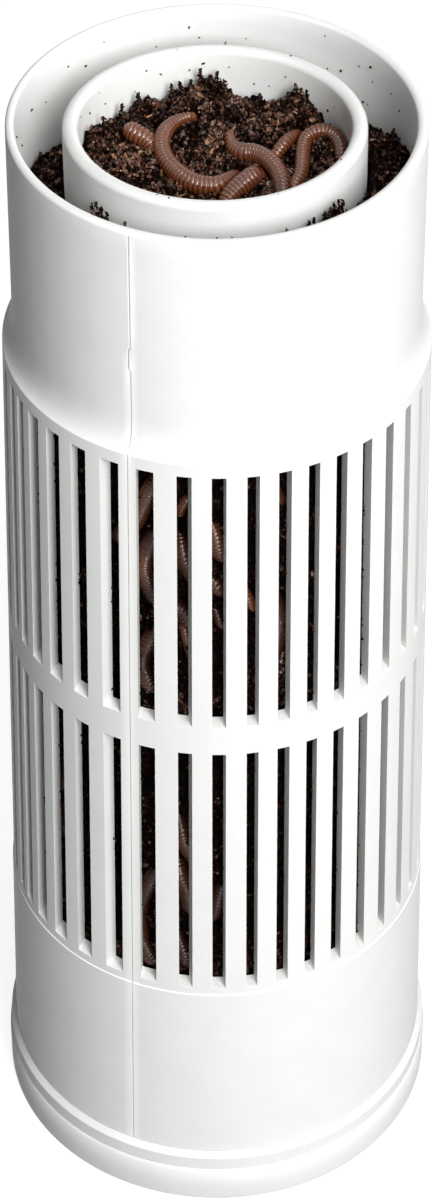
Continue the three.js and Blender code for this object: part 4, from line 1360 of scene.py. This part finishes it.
# Worms behind the slots take a dark hue, 0.05 against 0.5 on the heap: painted shade.
for order, control in enumerate(SIDE_WORMS):
    node = f"side_worm_{order + 1}"
    skin = worm(f"{node}_skin", control, 18, 6, RING_PITCH, 0.05, 200 + order)
    placed(skin, "base", "worm", node)
# Thin worms behind the slots take a hue of 0.18, darker than on the heap: painted shade.
for order, shares in enumerate(THIN_WORM_SHARES):
    control = side_worm_control(shares, THIN_WORM_GIRTH)
    skin = worm(f"thin_worm_{order + 1}", control, 14, 6, RING_PITCH, 0.18, 300 + order)
    placed(skin, "base", "worm")

tube_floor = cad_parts["tube_floor"]
tube_floor.data.materials.clear()
tube_floor.data.materials.append(FLOOR_WHITE)


# Studio

def seen_directly(tree):
    """1 for what the camera sees straight, in a gloss or through a clear thing, and 0 otherwise."""
    shown = add_node(tree, "ShaderNodeLightPath", {}, "Is Camera Ray")
    rays = shown.node.outputs
    for ray in ("Is Glossy Ray", "Is Transmission Ray"):
        inputs = {0: shown, 1: rays[ray]}
        shown = add_node(tree, "ShaderNodeMath", inputs, "Value", operation="MAXIMUM")
    return shown


def studio_floor():
    """A wide level floor, white to the camera, that keeps the object's soft shadow."""
    material, tree, plain = new_finish("studio floor")
    tree.nodes.remove(plain)
    dark, pale = [
        add_node(tree, "ShaderNodeBsdfDiffuse", {"Color": (level, level, level, 1)}, "BSDF")
        for level in (0.04, 0.3)
    ]
    glow = add_node(tree, "ShaderNodeEmission", {"Strength": 0.85}, "Emission")
    shown = add_node(tree, "ShaderNodeAddShader", {0: pale, 1: glow}, "Shader")
    sides = {"Fac": seen_directly(tree), 1: dark, 2: shown}
    surface = add_node(tree, "ShaderNodeMixShader", sides, "Shader")
    feed(tree, tree.nodes["Material Output"], {"Surface": surface})
    side = np.linspace(-3000, 3000, 9)
    x, y = np.meshgrid(side, side, indexing="xy")
    points = np.stack([x, y, np.full_like(x, -0.4)], axis=-1)
    made_mesh("studio_floor", points, grid_faces(9, 9).tolist(), material)


def studio_world():
    """White to the camera and a weak even light on everything else."""
    world = bpy.data.worlds.new("studio")
    world.use_nodes = True
    tree = world.node_tree
    level = {"Value": seen_directly(tree), "To Min": 0.028, "To Max": 1.0}
    strength = add_node(tree, "ShaderNodeMapRange", level, "Result")
    feed(tree, tree.nodes["Background"], {"Color": (1, 1, 1, 1), "Strength": strength})
    bpy.context.scene.world = world


def stand(name, data, place, turns):
    """A lamp or camera at a place, turned."""
    made = bpy.data.objects.new(name, data)
    made.location = place
    made.rotation_euler = turns
    bpy.context.scene.collection.objects.link(made)
    return made


def softbox(name, azimuth_deg, elevation_deg, distance, width, height, level):
    """A soft lamp that faces the middle of the object; a level of 1 lights a square-on white fully."""
    turn, lift = math.radians(azimuth_deg), math.radians(elevation_deg)
    lamp = bpy.data.lights.new(name, "AREA")
    lamp.shape = "RECTANGLE"
    lamp.size, lamp.size_y = width, height
    lamp.energy = level * math.pi ** 2 * distance ** 2
    flat = distance * math.cos(lift)
    z = LAMP_TARGET_HEIGHT + distance * math.sin(lift)
    stand(name, lamp, (flat * math.sin(turn), -flat * math.cos(turn), z), (math.pi / 2 - lift, 0, turn))


def camera():
    """The photograph's view: from the front, looking down over the rim."""
    data = bpy.data.cameras.new("camera")
    data.lens = LENS
    data.sensor_width = SENSOR_WIDTH
    turns = (math.pi / 2 - CAMERA_DOWN, 0, 0)
    bpy.context.scene.camera = stand("camera", data, CAMERA_PLACE, turns)


studio_floor()
studio_world()
for lamp_values in SOFTBOXES:
    softbox(*lamp_values)
camera()
bpy.context.scene.view_settings.view_transform = "Standard"
